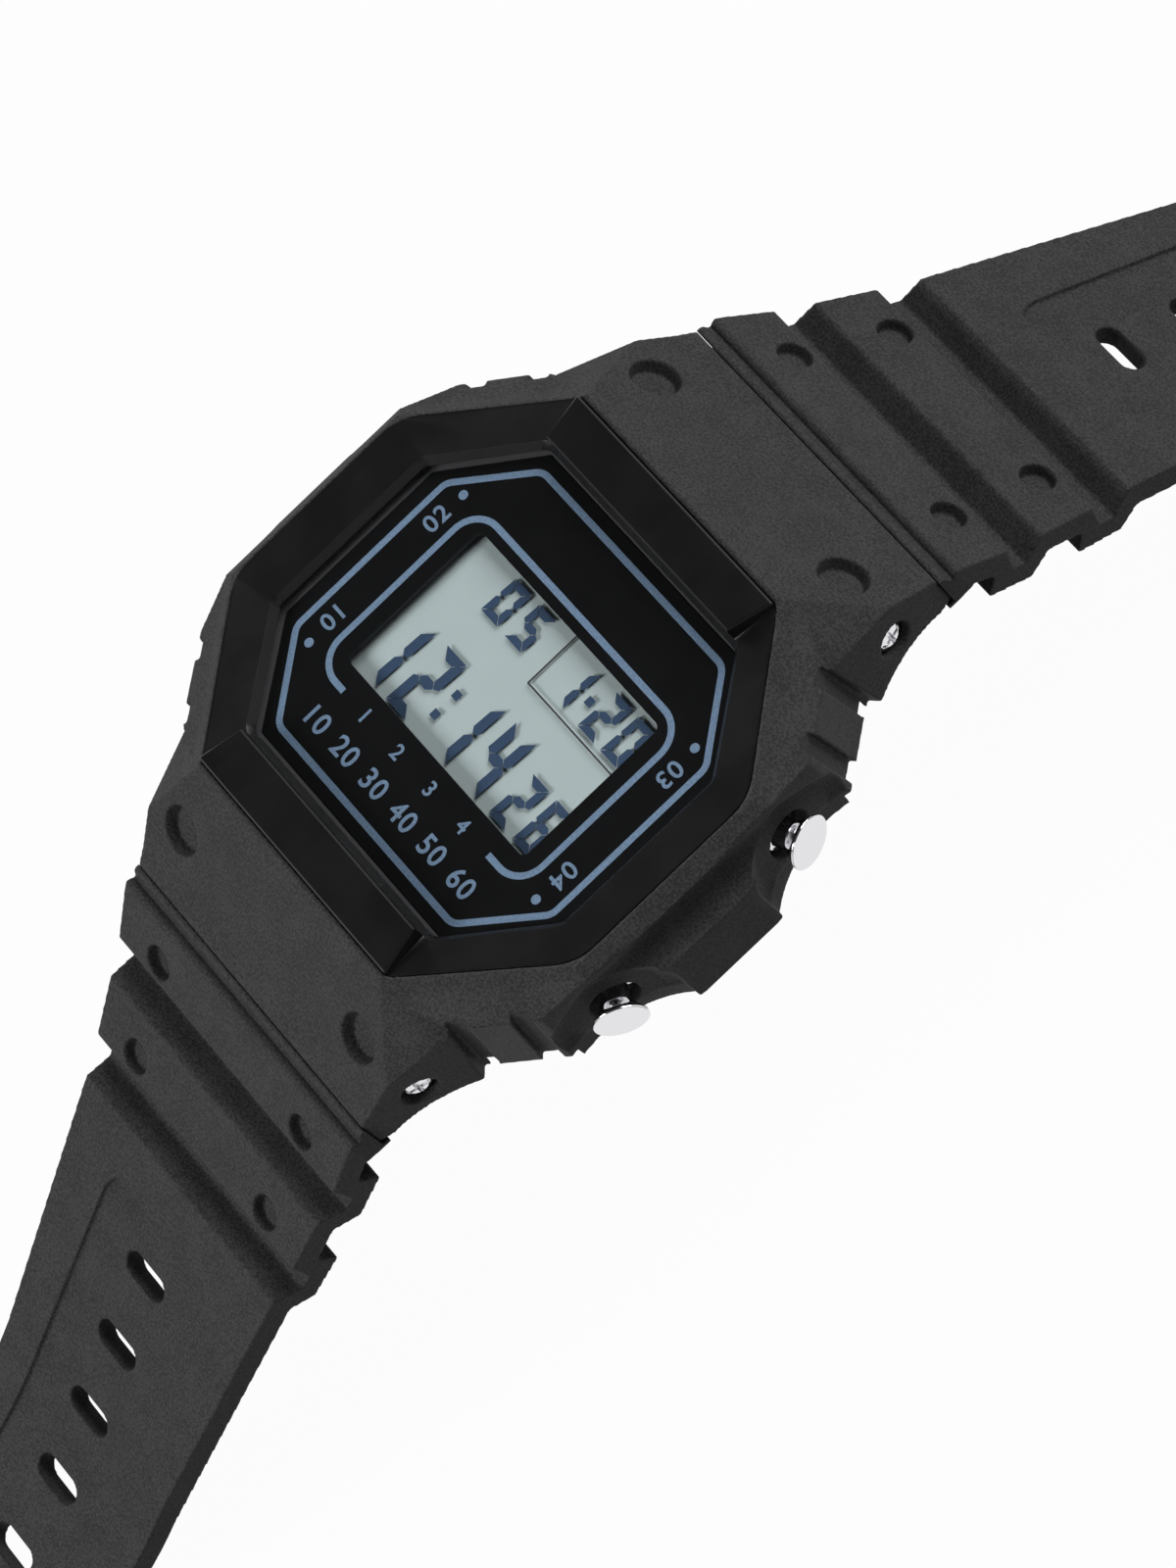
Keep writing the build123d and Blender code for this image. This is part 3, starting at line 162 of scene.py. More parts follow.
class WatchSizes(bpy.types.PropertyGroup):
    """Sizes of the dressing pieces."""
    resin_skin: FloatProperty(name="Resin skin", default=0.11 * MM, unit="LENGTH",
                              description="Size of the small faces that round a mould's edges")
    resin_faces: IntProperty(name="Resin faces", default=170000,
                             description="Most triangles in one moulded piece")
    root_reach: FloatProperty(name="Root reach", default=24.97 * MM, unit="LENGTH",
                              description="A strap's end face lies nearer to the centre than this")
    root_shift: FloatProperty(name="Root shift", default=0.16 * MM, unit="LENGTH",
                              description="How far a strap's end face is moved to its seam")
    dimple_share: FloatProperty(name="Dimple floor", default=0.5, min=0.0, max=1.0,
                                description="Share of a dimple's wall that its floor takes over")
    dimple_extra: FloatProperty(name="Dimple depth", default=0.35 * MM, unit="LENGTH",
                                description="How much lower a dimple's floor is laid")
    ring_edge: FloatProperty(name="Ring edge", default=0.09 * MM, unit="LENGTH",
                             description="Width of the polished edges of the ring")
    metal_edge: FloatProperty(name="Metal edge", default=0.06 * MM, unit="LENGTH",
                              description="Width of the broken edges of steel and of the crystal")
    print_width: FloatProperty(name="Printed line", default=0.46 * MM, unit="LENGTH",
                               description="Width of the lines printed on the face")
    print_height: FloatProperty(name="Print height", default=0.012 * MM, unit="LENGTH",
                                description="Thickness of the ink and of the digits")
    print_radius: FloatProperty(name="Frame corner", default=2.1 * MM, unit="LENGTH",
                                description="Corner radius of the inner printed line")
    glass_gap: FloatProperty(name="Glass gap", default=0.03 * MM, unit="LENGTH",
                             description="How much the crystal's lower face is raised over the print")
    display_depth: FloatProperty(name="Display depth", default=0.24 * MM, unit="LENGTH",
                                 description="Depth of the reflector behind the digits")
    slant: FloatProperty(name="Slant", default=0.06, min=0.0, max=0.3,
                         description="Sideways shift of a digit's top, as a share of its height")


class WatchColours(bpy.types.PropertyGroup):
    """Colours of the watch, as linear values."""
    resin: FloatVectorProperty(name="Resin", subtype="COLOR", size=3,
                               default=(0.040, 0.040, 0.040), description="Matte moulded resin")
    ring: FloatVectorProperty(name="Ring", subtype="COLOR", size=3,
                              default=(0.005, 0.005, 0.005), description="Lacquered bezel ring")
    ink: FloatVectorProperty(name="Ink", subtype="COLOR", size=3,
                             default=(0.14, 0.22, 0.33), description="Print on the face")
    face: FloatVectorProperty(name="Face", subtype="COLOR", size=3,
                              default=(0.003, 0.003, 0.0035), description="Ground of the face")
    reflector: FloatVectorProperty(name="Display", subtype="COLOR", size=3,
                                   default=(0.42, 0.50, 0.505), description="Display's ground")
    digit: FloatVectorProperty(name="Digits", subtype="COLOR", size=3,
                               default=(0.020, 0.050, 0.106), description="Display's digits")


class WatchView(bpy.types.PropertyGroup):
    """Camera of the photograph, about the centre of the face."""
    turn: FloatProperty(name="Turn", default=radians(30.50), subtype="ANGLE",
                        description="Camera's lean towards 3 o'clock")
    rise: FloatProperty(name="Rise", default=radians(2.79), subtype="ANGLE",
                        description="Camera's lean towards 12 o'clock")
    roll: FloatProperty(name="Roll", default=radians(46.38), subtype="ANGLE",
                        description="Camera's turn about its own axis")
    distance: FloatProperty(name="Distance", default=460.66 * MM, unit="LENGTH",
                            description="Distance from the face's centre along the camera's axis")
    shift_right: FloatProperty(name="Right", default=5.62 * MM, unit="LENGTH",
                               description="Camera's offset to its right")
    shift_up: FloatProperty(name="Up", default=-5.50 * MM, unit="LENGTH",
                            description="Camera's offset upwards")
    focal_pixels: FloatProperty(name="Focal length in pixels", default=7535.0,
                                description="Focal length for a picture 1600 pixels high")


class WatchStudio(bpy.types.PropertyGroup):
    """Light of the studio."""
    horizon: FloatProperty(name="Horizon", default=1.0, description="Brightness at the horizon")
    zenith: FloatProperty(name="Zenith", default=0.06, description="Brightness overhead")
    fill: FloatProperty(name="Fill", default=0.06,
                        description="Share of the surroundings' light that falls on matte pieces")
    horizon_low: FloatProperty(name="Fall starts", default=0.12,
                               description="Sine of the elevation where the light starts to fall")
    horizon_high: FloatProperty(name="Fall ends", default=0.62,
                                description="Sine of the elevation where it has fallen")
    broad_size: FloatProperty(name="Broad lamp", default=0.75, unit="LENGTH",
                              description="Side of the square lamp over the 12 o'clock strap")
    narrow_size: FloatProperty(name="Narrow lamp", default=0.4, unit="LENGTH",
                               description="Side of the square lamp over the 6 o'clock strap")
    broad_power: FloatProperty(name="Broad power", default=11.0,
                               description="Power of the broad lamp")
    narrow_power: FloatProperty(name="Narrow power", default=8.9,
                                description="Power of the narrow lamp")
    lamp_side: FloatProperty(name="Lamps' side", default=-0.08, unit="LENGTH",
                             description="Place of both lamps towards 3 o'clock")
    lamp_reach: FloatProperty(name="Lamps' reach", default=0.76, unit="LENGTH",
                              description="Distance of each lamp towards 12 or 6 o'clock")
    lamp_rise: FloatProperty(name="Lamps' height", default=0.65, unit="LENGTH",
                             description="Height of both lamps")
    floor_half: FloatProperty(name="Floor", default=2.0, unit="LENGTH",
                              description="Half the side of the square floor")
    paper: FloatProperty(name="Paper", default=0.4, min=0.0, max=1.0,
                         description="Share of the light that the floor throws back")
    white: FloatProperty(name="White share", default=0.97, min=0.0, max=1.0,
                         description="Share of plain white in the floor as the camera sees it")


class Value:
    """A shader socket on which Python's operators add Math nodes."""

    def __init__(self, shader, socket):
        self.shader = shader
        self.socket = socket

    def _math(self, operation, first, second):
        return self.shader.node("Math", {"operation": operation}, {0: first, 1: second})

    def __add__(self, other):
        return self._math("ADD", self, other)

    def __radd__(self, other):
        return self._math("ADD", other, self)

    def __sub__(self, other):
        return self._math("SUBTRACT", self, other)

    def __rsub__(self, other):
        return self._math("SUBTRACT", other, self)

    def __mul__(self, other):
        return self._math("MULTIPLY", self, other)

    def __rmul__(self, other):
        return self._math("MULTIPLY", other, self)

    def __lt__(self, other):
        return self._math("LESS_THAN", self, other)

    def __gt__(self, other):
        return self._math("GREATER_THAN", self, other)


class Shader:
    """Shader nodes of a material or world, built up piece by piece."""

    def __init__(self, owner):
        owner.use_nodes = True
        self.owner = owner
        self.tree = owner.node_tree
        self.tree.nodes.clear()
        self.at = self.node("TexCoord", output="Object")

    def node(self, kind, settings=None, inputs=None, output=0):
        """Adds a node, with its settings first, then its sockets' values or links."""
        made = self.tree.nodes.new("ShaderNode" + kind)
        for key, setting in (settings or {}).items():
            setattr(made, key, setting)
        for key, given in (inputs or {}).items():
            if isinstance(given, Value):
                self.tree.links.new(given.socket, made.inputs[key])
            else:
                made.inputs[key].default_value = given
        return Value(self, made.outputs[output]) if made.outputs else None

    def noise(self, size, detail=2.0, at=None):
        """Cloudy pattern from 0 to 1 whose features are about the given size."""
        return self.node("TexNoise", {}, {"Vector": at or self.at, "Scale": 1 / size,
                                          "Detail": detail})

    def cells(self, size, feature):
        """Distances in a pattern of cells of about the given size."""
        return self.node("TexVoronoi", {"feature": feature},
                         {"Vector": self.at, "Scale": 1 / size}, "Distance")

    def stretched(self, x=1.0, y=1.0, z=1.0):
        """Object coordinates scaled along each axis."""
        return self.node("Mapping", {"vector_type": "POINT"},
                         {"Vector": self.at, "Scale": (x, y, z)})

    def mixed(self, share, first, second):
        """Mix of two colours."""
        return self.node("Mix", {"data_type": "RGBA"}, {0: share, 6: first, 7: second}, 2)

    def shaded(self, share, colour, dark, light):
        """Mix of a colour's darker and lighter shades."""
        shades = [(*(min(1.0, part * shade) for part in colour), 1.0) for shade in (dark, light)]
        return self.mixed(share, *shades)

    def ramped(self, value, low=0.3, high=0.7, low_out=0.0, high_out=1.0):
        """A value carried smoothly from one span to another."""
        return self.node("MapRange", {"interpolation_type": "SMOOTHSTEP"},
                         {0: value, 1: low, 2: high, 3: low_out, 4: high_out})

    def bump(self, pattern, depth, strength=0.5):
        """Surface normal from a pattern of a given depth."""
        return self.node("Bump", {}, {"Strength": strength, "Distance": depth,
                                      "Height": pattern})

    def finish(self, **sockets):
        """Closes the material with one surface shader."""
        named = {key.replace("_", " ").title().replace("Ior", "IOR"): given
                 for key, given in sockets.items()}
        surface = self.node("BsdfPrincipled", {}, named)
        self.node("OutputMaterial", {}, {"Surface": surface})


def resin_material(colour):
    """Fine-grained matte resin with a few pale dust specks."""
    shader = Shader(bpy.data.materials.new("moulded_resin"))
    grain = shader.noise(size=0.17 * MM)
    mottle = shader.noise(size=2.5 * MM)
    relief = grain + shader.noise(size=0.4 * MM) * 0.6
    tone = shader.shaded(shader.ramped(grain * 0.8 + mottle * 0.2, low=0.36, high=0.64), colour,
                         dark=0.68, light=1.32)
    speck_radius = 0.022
    least_cloud = 0.66
    dust = ((shader.cells(2.6 * MM, "F1") < speck_radius)
            * (shader.noise(size=3.1 * MM, detail=0.0) > least_cloud))
    pale = (0.3, 0.3, 0.29, 1.0)
    shader.finish(base_color=shader.mixed(dust * 0.5, tone, pale),
                  roughness=0.52 + 0.12 * grain + 0.06 * mottle, specular_ior_level=0.05,
                  normal=shader.bump(relief, depth=0.03 * MM, strength=0.9))


def ring_material(colour):
    """Black satin lacquer with faint polishing marks."""
    shader = Shader(bpy.data.materials.new("ring_lacquer"))
    marks = shader.noise(size=0.5 * MM, detail=3.0, at=shader.stretched(y=0.12))
    cloud = shader.noise(size=4.0 * MM)
    shader.finish(base_color=shader.shaded(shader.ramped(cloud), colour, dark=0.8, light=1.3),
                  roughness=0.26 + 0.08 * marks + 0.05 * cloud, specular_ior_level=0.25,
                  normal=shader.bump(marks, depth=0.003 * MM, strength=0.4))


def face_material(colour):
    """Deep black ground of the printed face."""
    shader = Shader(bpy.data.materials.new("face_ground"))
    cloud = shader.noise(size=3.0 * MM)
    shader.finish(base_color=shader.shaded(cloud, colour, dark=0.8, light=1.2),
                  roughness=0.3 + 0.1 * cloud, specular_ior_level=0.12)


def ink_material(name, colour, spread):
    """Ink that is slightly uneven, by a spread of its tone."""
    shader = Shader(bpy.data.materials.new(name))
    cover = shader.noise(size=0.18 * MM, detail=3.0)
    shader.finish(base_color=shader.shaded(shader.ramped(cover), colour, dark=1 - spread,
                                           light=1 + spread),
                  roughness=0.5 + 0.1 * cover, normal=shader.bump(cover, depth=0.004 * MM))


def reflector_material(colour):
    """Pale, finely grained reflector behind the display's digits."""
    shader = Shader(bpy.data.materials.new("display_reflector"))
    grain = shader.noise(size=0.06 * MM)
    cloud = shader.noise(size=5.0 * MM, detail=1.0)
    shader.finish(base_color=shader.shaded(shader.ramped(grain * 0.5 + cloud * 0.5), colour,
                                           dark=0.965, light=1.035),
                  roughness=0.55 + 0.1 * grain, specular_ior_level=0.25)


def crystal_material():
    """Clear window, shown by its gloss alone."""
    shader = Shader(bpy.data.materials.new("crystal_clear"))
    smear = shader.noise(size=6.0 * MM)
    shader.finish(base_color=(0.02, 0.022, 0.022, 1.0), roughness=0.02 + 0.03 * smear,
                  alpha=0.05 + 0.02 * smear, specular_ior_level=0.5)


def metal_material(name, colour, rough, pull, depth):
    """Metal with fine marks, which a small pull draws out along x."""
    shader = Shader(bpy.data.materials.new(name))
    marks = shader.noise(size=0.12 * MM, detail=3.0, at=shader.stretched(x=pull))
    cloud = shader.noise(size=3.0 * MM)
    shader.finish(base_color=shader.shaded(cloud, colour, dark=0.93, light=1.05), metallic=1.0,
                  roughness=rough + 0.1 * marks, normal=shader.bump(marks, depth * MM))


def plastic_material(name, colour, rough):
    """Plain moulded plastic or rubber with a slight mottle."""
    shader = Shader(bpy.data.materials.new(name))
    grain = shader.noise(size=0.3 * MM, detail=3.0)
    shader.finish(base_color=shader.shaded(shader.ramped(grain), colour, dark=0.85, light=1.15),
                  roughness=rough + 0.1 * grain, normal=shader.bump(grain, depth=0.01 * MM))


def board_material():
    """Green board with tracks that show through the lacquer."""
    shader = Shader(bpy.data.materials.new("board_lacquer"))
    track_half = 0.07
    track = shader.cells(1.6 * MM, "DISTANCE_TO_EDGE") < track_half
    lacquer, copper = (0.012, 0.07, 0.03, 1.0), (0.05, 0.16, 0.06, 1.0)
    shader.finish(base_color=shader.mixed(track, lacquer, copper), roughness=0.35 - 0.1 * track,
                  normal=shader.bump(track, depth=0.02 * MM, strength=0.6))


def strip_material():
    """Striped connector rubber: dark conducting layers between pale ones."""
    shader = Shader(bpy.data.materials.new("striped_rubber"))
    wave = shader.node("TexWave", {"wave_type": "BANDS", "bands_direction": "X"},
                       {"Vector": shader.at, "Scale": 1 / (0.6 * MM), "Distortion": 0.0}, "Fac")
    half_way = 0.5
    pale, dark = (0.55, 0.5, 0.5, 1.0), (0.03, 0.03, 0.03, 1.0)
    shader.finish(base_color=shader.mixed(wave > half_way, pale, dark),
                  roughness=0.6 + 0.1 * shader.noise(size=0.2 * MM))


def materials():
    """Every finish of the watch, made once."""
    made = bpy.data.materials
    if "moulded_resin" in made:
        return made
    colours = bpy.context.scene.watch_colours
    resin_material(colours.resin)
    ring_material(colours.ring)
    face_material(colours.face)
    ink_material("face_ink", colours.ink, spread=0.15)
    ink_material("digit_ink", colours.digit, spread=0.08)
    reflector_material(colours.reflector)
    crystal_material()
    for name, metal in METALS.items():
        metal_material(name, *metal)
    for name, plastic in PLASTICS.items():
        plastic_material(name, *plastic)
    board_material()
    strip_material()
    return made


def placed(name, data):
    """A new object in the scene."""
    thing = bpy.data.objects.new(name, data)
    bpy.context.scene.collection.objects.link(thing)
    return thing


def evaluated_mesh(piece):
    """Plain mesh of a piece as its modifiers or its curve make it."""
    graph = bpy.context.evaluated_depsgraph_get()
    return bpy.data.meshes.new_from_object(piece.evaluated_get(graph))


def applied(piece):
    """Turns a piece's modifiers into plain mesh."""
    mesh = evaluated_mesh(piece)
    piece.modifiers.clear()
    piece.data = mesh


def mesh_from(edit, name):
    """Mesh from an edit, which is then freed."""
    mesh = bpy.data.meshes.new(name)
    edit.to_mesh(mesh)
    edit.free()
    return mesh


def shade(mesh, smooth):
    """Makes every face of a mesh smooth or flat."""
    for face in mesh.polygons:
        face.use_smooth = smooth


def dressed(piece, material, body, node=None):
    """Gives a piece its finish and its body, and puts it in place of a node if one is named."""
    piece.data.materials.clear()
    piece.data.materials.append(materials()[material])
    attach(piece, body)
    if node:
        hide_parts(node)


def merged_piece(name, node):
    """Copy of a node with its loose triangles joined and its flat faces whole."""
    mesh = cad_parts[node].data.copy()
    edit = bmesh.new()
    edit.from_mesh(mesh)
    bmesh.ops.remove_doubles(edit, verts=edit.verts, dist=MERGE_DISTANCE * MM)
    bmesh.ops.dissolve_limit(edit, angle_limit=radians(MERGE_ANGLE), verts=edit.verts,
                             edges=edit.edges)
    edit.to_mesh(mesh)
    edit.free()
    return placed(name, mesh)


def edged(name, node, body, material, width, clamp=False):
    """A node's own shape with its sharp edges broken."""
    piece = merged_piece(name, node)
    bevel = piece.modifiers.new("edges", "BEVEL")
    bevel.width = width
    bevel.segments = 2
    bevel.limit_method = "ANGLE"
    bevel.angle_limit = radians(SHARP_ANGLE)
    bevel.use_clamp_overlap = clamp
    shade(piece.data, True)
    weighted = piece.modifiers.new("flat faces", "WEIGHTED_NORMAL")
    weighted.mode = "FACE_AREA"
    weighted.weight = 100
    applied(piece)
    dressed(piece, material, body, node)
    return piece


def dimple_floors(mesh, radius):
    """Centre and normal of each round floor of a radius that faces up."""
    area = pi * (radius * MM) ** 2
    least, most = FLOOR_AREA
    return [(face.center.copy(), face.normal.copy()) for face in mesh.polygons
            if len(face.vertices) > FLOOR_CORNERS and face.normal.z > 0
            and least < face.area / area < most]


def deepened(piece, floors, dimple, share, extra):
    """Makes the dimples' floors wider and lower, so that their walls stand steeper."""
    floor, rim, depth = [size * MM for size in dimple]
    wide = floor + (rim - floor) * share
    for centre, normal in floors:
        for vertex in piece.data.vertices:
            offset = vertex.co - centre
            height = offset.dot(normal)
            flat = offset - height * normal
            reach = flat.length
            if not -FLOOR_SLACK * MM < height < depth or not 0 < reach < rim:
                continue
            if reach < floor:
                moved = reach * wide / floor
            else:
                moved = wide + (reach - floor) * (rim - wide) / (rim - floor)
            sunk = extra * (1 - max(height, 0) / depth)
            vertex.co = centre + flat * (moved / reach) + normal * (height - sunk)


def moulded(name, node, body, dimple):
    """A node's own shape with its edges softened and its dimples, if any, deepened."""
    sizes = bpy.context.scene.watch_sizes
    piece = merged_piece(name, node)
    floors = dimple_floors(piece.data, dimple[0]) if dimple else []
    if dimple and len(floors) != DIMPLE_COUNT:
        raise RuntimeError(f"{node} shows {len(floors)} dimples, not {DIMPLE_COUNT}")
    remesh = piece.modifiers.new("skin", "REMESH")
    remesh.mode = "VOXEL"
    remesh.voxel_size = sizes.resin_skin
    remesh.use_smooth_shade = True
    soft = piece.modifiers.new("soft", "SMOOTH")
    soft.iterations = 2
    applied(piece)
    count = sum(len(face.vertices) - 2 for face in piece.data.polygons)
    thin = piece.modifiers.new("thin", "DECIMATE")
    thin.ratio = min(1.0, sizes.resin_faces / count)
    applied(piece)
    if dimple:
        deepened(piece, floors, dimple, sizes.dimple_share, sizes.dimple_extra)
    dressed(piece, "moulded_resin", body, node)
    return piece


def close_root(piece, reach, shift):
    """Moves the end face of a strap's root towards the shroud's lip, to a narrow seam."""
    for vertex in piece.data.vertices:
        if abs(vertex.co.y) < reach:
            vertex.co.y -= shift if vertex.co.y > 0 else -shift


def scaled(points):
    """Points in millimetres as points in metres."""
    return [(x * MM, y * MM) for x, y in points]


def plates(name, outlines, low, high):
    """Mesh of flat plates with straight sides, each over an outline of points in metres."""
    edit = bmesh.new()
    for outline in outlines:
        lower = [edit.verts.new((x, y, low)) for x, y in outline]
        upper = [edit.verts.new((x, y, high)) for x, y in outline]
        edit.faces.new(upper)
        edit.faces.new(lower[::-1])
        for i in range(len(outline)):
            j = (i + 1) % len(outline)
            edit.faces.new((lower[i], lower[j], upper[j], upper[i]))
    bmesh.ops.recalc_face_normals(edit, faces=edit.faces)
    return mesh_from(edit, name)


def one_mesh(name, meshes):
    """One mesh from several."""
    whole = bmesh.new()
    for mesh in meshes:
        whole.from_mesh(mesh)
        bpy.data.meshes.remove(mesh)
    return mesh_from(whole, name)


def tree_node(tree, kind, inputs, settings=None):
    """Adds a geometry node, with its settings first, then its sockets' values or links."""
    made = tree.nodes.new("GeometryNode" + kind)
    for key, setting in (settings or {}).items():
        setattr(made, key, setting)
    for key, given in inputs.items():
        if isinstance(given, bpy.types.NodeSocket):
            tree.links.new(given, made.inputs[key])
        else:
            made.inputs[key].default_value = given
    return made.outputs[0]


def printed_line_tree():
    """Geometry node tree, made once, that lays a flat ribbon of ink along a curve."""
    name = "Printed line"
    if name in bpy.data.node_groups:
        return bpy.data.node_groups[name]
    tree = bpy.data.node_groups.new(name, "GeometryNodeTree")
    for socket, kind in (("Curve", "Geometry"), ("Width", "Float"), ("Height", "Float"),
                         ("Corner", "Float"), ("Ink", "Material")):
        tree.interface.new_socket(socket, in_out="INPUT", socket_type="NodeSocket" + kind)
    tree.interface.new_socket("Ribbon", in_out="OUTPUT", socket_type="NodeSocketGeometry")
    given = tree.nodes.new("NodeGroupInput").outputs
    bent = tree_node(tree, "FilletCurve", {"Curve": given["Curve"], "Radius": given["Corner"],
                                           "Count": CORNER_POINTS}, {"mode": "POLY"})
    section = tree_node(tree, "CurvePrimitiveQuadrilateral",
                        {"Width": given["Width"], "Height": given["Height"]},
                        {"mode": "RECTANGLE"})
    ribbon = tree_node(tree, "CurveToMesh",
                       {"Curve": bent, "Profile Curve": section, "Fill Caps": True})
    real = tree_node(tree, "RealizeInstances", {"Geometry": ribbon})
    inked = tree_node(tree, "SetMaterial", {"Geometry": real, "Material": given["Ink"]})
    end = tree.nodes.new("NodeGroupOutput")
    tree.links.new(inked, end.inputs[0])
    return tree


def drawn_line(points, closed, width, corner, material, z):
    """Mesh of one ribbon of ink along points in millimetres, at a height in metres."""
    curve = bpy.data.curves.new("path", "CURVE")
    curve.dimensions = "3D"
    spline = curve.splines.new("POLY")
    spline.points.add(len(points) - 1)
    for point, (x, y) in zip(spline.points, points):
        point.co = (x * MM, y * MM, z, 1)
    spline.use_cyclic_u = closed
    holder = placed("path", curve)
    modifier = holder.modifiers.new("ink", "NODES")
    modifier.node_group = printed_line_tree()
    wanted = {"Width": width, "Height": bpy.context.scene.watch_sizes.print_height,
              "Corner": corner, "Ink": materials()[material]}
    for item in modifier.node_group.interface.items_tree:
        if item.in_out == "INPUT" and item.name in wanted:
            modifier[item.identifier] = wanted[item.name]
    mesh = evaluated_mesh(holder)
    bpy.data.objects.remove(holder)
    return mesh


def text_mesh(text, size, x, y, z, turn=0):
    """Mesh of plain numerals at x and y in millimetres and z in metres, turned in degrees."""
    letters = bpy.data.curves.new("numerals", "FONT")
    letters.body = text
    letters.size = size * MM
    letters.extrude = bpy.context.scene.watch_sizes.print_height / 2
    letters.align_x = "CENTER"
    letters.align_y = "CENTER"
    letters.space_character = LETTER_SPACE
    letters.offset = LETTER_WEIGHT * size * MM
    holder = placed("numerals", letters)
    mesh = evaluated_mesh(holder)
    bpy.data.objects.remove(holder)
    place = Matrix.Translation((x * MM, y * MM, z))
    mesh.transform(place @ Matrix.Rotation(radians(turn), 4, "Z"))
    return mesh


def round_outline(x, y, radius, count):
    """Points of a circle, in millimetres."""
    return [(x + radius * cos(2 * pi * i / count), y + radius * sin(2 * pi * i / count))
            for i in range(count)]


def segment_shapes(width, height, stroke):
    """Outlines of the seven bars of a digit, mitred, with narrow gaps between them."""
    gap = SEGMENT_GAP
    mid = height / 2
    half = stroke / 2
    inner = width - stroke
    top = [(gap, height), (width - gap, height), (inner - gap, height - stroke),
           (stroke + gap, height - stroke)]
    right = [(width, height - gap), (width, mid + half * SEGMENT_SHOULDER),
             (width - half, mid + gap), (inner, mid + half + gap), (inner, height - stroke - gap)]
    middle = [(half + gap, mid), (stroke + gap, mid + half), (inner - gap, mid + half),
              (width - half - gap, mid), (inner - gap, mid - half), (stroke + gap, mid - half)]
    low_right = [(x, height - y) for x, y in right]
    return {"a": top, "b": right, "c": low_right, "d": [(x, height - y) for x, y in top],
            "e": [(width - x, y) for x, y in low_right], "f": [(width - x, y) for x, y in right],
            "g": middle}


def digit_outlines():
    """Outlines of every bar and square that the display shows, in millimetres."""
    slant = bpy.context.scene.watch_sizes.slant
    shapes = []
    for (foot, width, height, stroke), digits in DIGIT_ROWS:
        bars = segment_shapes(width, height, stroke)
        for text, left in digits:
            shapes += [[(left + x + slant * y, foot + y) for x, y in bars[letter]]
                       for letter in SEGMENTS[text]]
    half = SQUARE_HALF
    shapes += [[(x - half, y - half), (x + half, y - half), (x + half, y + half),
                (x - half, y + half)] for x, y in SQUARES]
    return shapes


class MouldedResin(bpy.types.Operator):
    """Give the shroud, the straps and the keeper the soft edges of moulded resin"""
    bl_idname = "watch.moulded_resin"
    bl_label = "Moulded resin"

    def execute(self, context):
        moulded("shroud_resin", "bezel_shroud", CASE, SHROUD_DIMPLE)
        sizes = context.scene.watch_sizes
        for name, node in (("short_strap_resin", "strap_12"), ("long_strap_resin", "strap_6")):
            strap = moulded(name, node, node, STRAP_DIMPLE)
            close_root(strap, sizes.root_reach, sizes.root_shift)
        moulded("keeper_resin", "strap_keeper", "keeper", None)
        return {"FINISHED"}


class BezelRing(bpy.types.Operator):
    """Make the lacquered ring with its polished edges"""
    bl_idname = "watch.bezel_ring"
    bl_label = "Bezel ring"

    def execute(self, context):
        edged("ring", "bezel_ring", CASE, "ring_lacquer",
              context.scene.watch_sizes.ring_edge, clamp=True)
        return {"FINISHED"}


class CrystalPlate(bpy.types.Operator):
    """Make the clear window with its ground edge"""
    bl_idname = "watch.crystal_plate"
    bl_label = "Crystal"

    def execute(self, context):
        sizes = context.scene.watch_sizes
        piece = edged("window", "crystal", CASE, "crystal_clear", sizes.metal_edge)
        low = crystal_low() + sizes.glass_gap
        for vertex in piece.data.vertices:
            vertex.co.z = max(vertex.co.z, low)
        shade(piece.data, False)
        return {"FINISHED"}


class PrintedFace(bpy.types.Operator):
    """Print the lines, dots and plain numerals on the face"""
    bl_idname = "watch.printed_face"
    bl_label = "Printed face"

    def execute(self, context):
        sizes = context.scene.watch_sizes
        low = crystal_low()
        middle = low + sizes.print_height / 2
        width = sizes.print_width
        dots = [scaled(round_outline(x, y, DOT_RADIUS, DOT_SIDES)) for x, y in DOTS]
        meshes = [drawn_line(OUTER_STROKE, True, width, OUTER_CORNER * MM, "face_ink", middle),
                  drawn_line(INNER_STROKE, False, width, sizes.print_radius, "face_ink", middle),
                  plates("dots", dots, low, low + sizes.print_height)]
        for texts, size, first, step, y in NUMBER_ROWS:
            meshes += [text_mesh(text, size, first + step * i, y, middle)
                       for i, text in enumerate(texts)]
        meshes += [text_mesh(text, LABEL_SIZE, x, y, middle, turn) for text, x, y, turn in LABELS]
        piece = placed("face_print", one_mesh("face_print", meshes))
        shade(piece.data, False)
        dressed(piece, "face_ink", CASE)
        return {"FINISHED"}


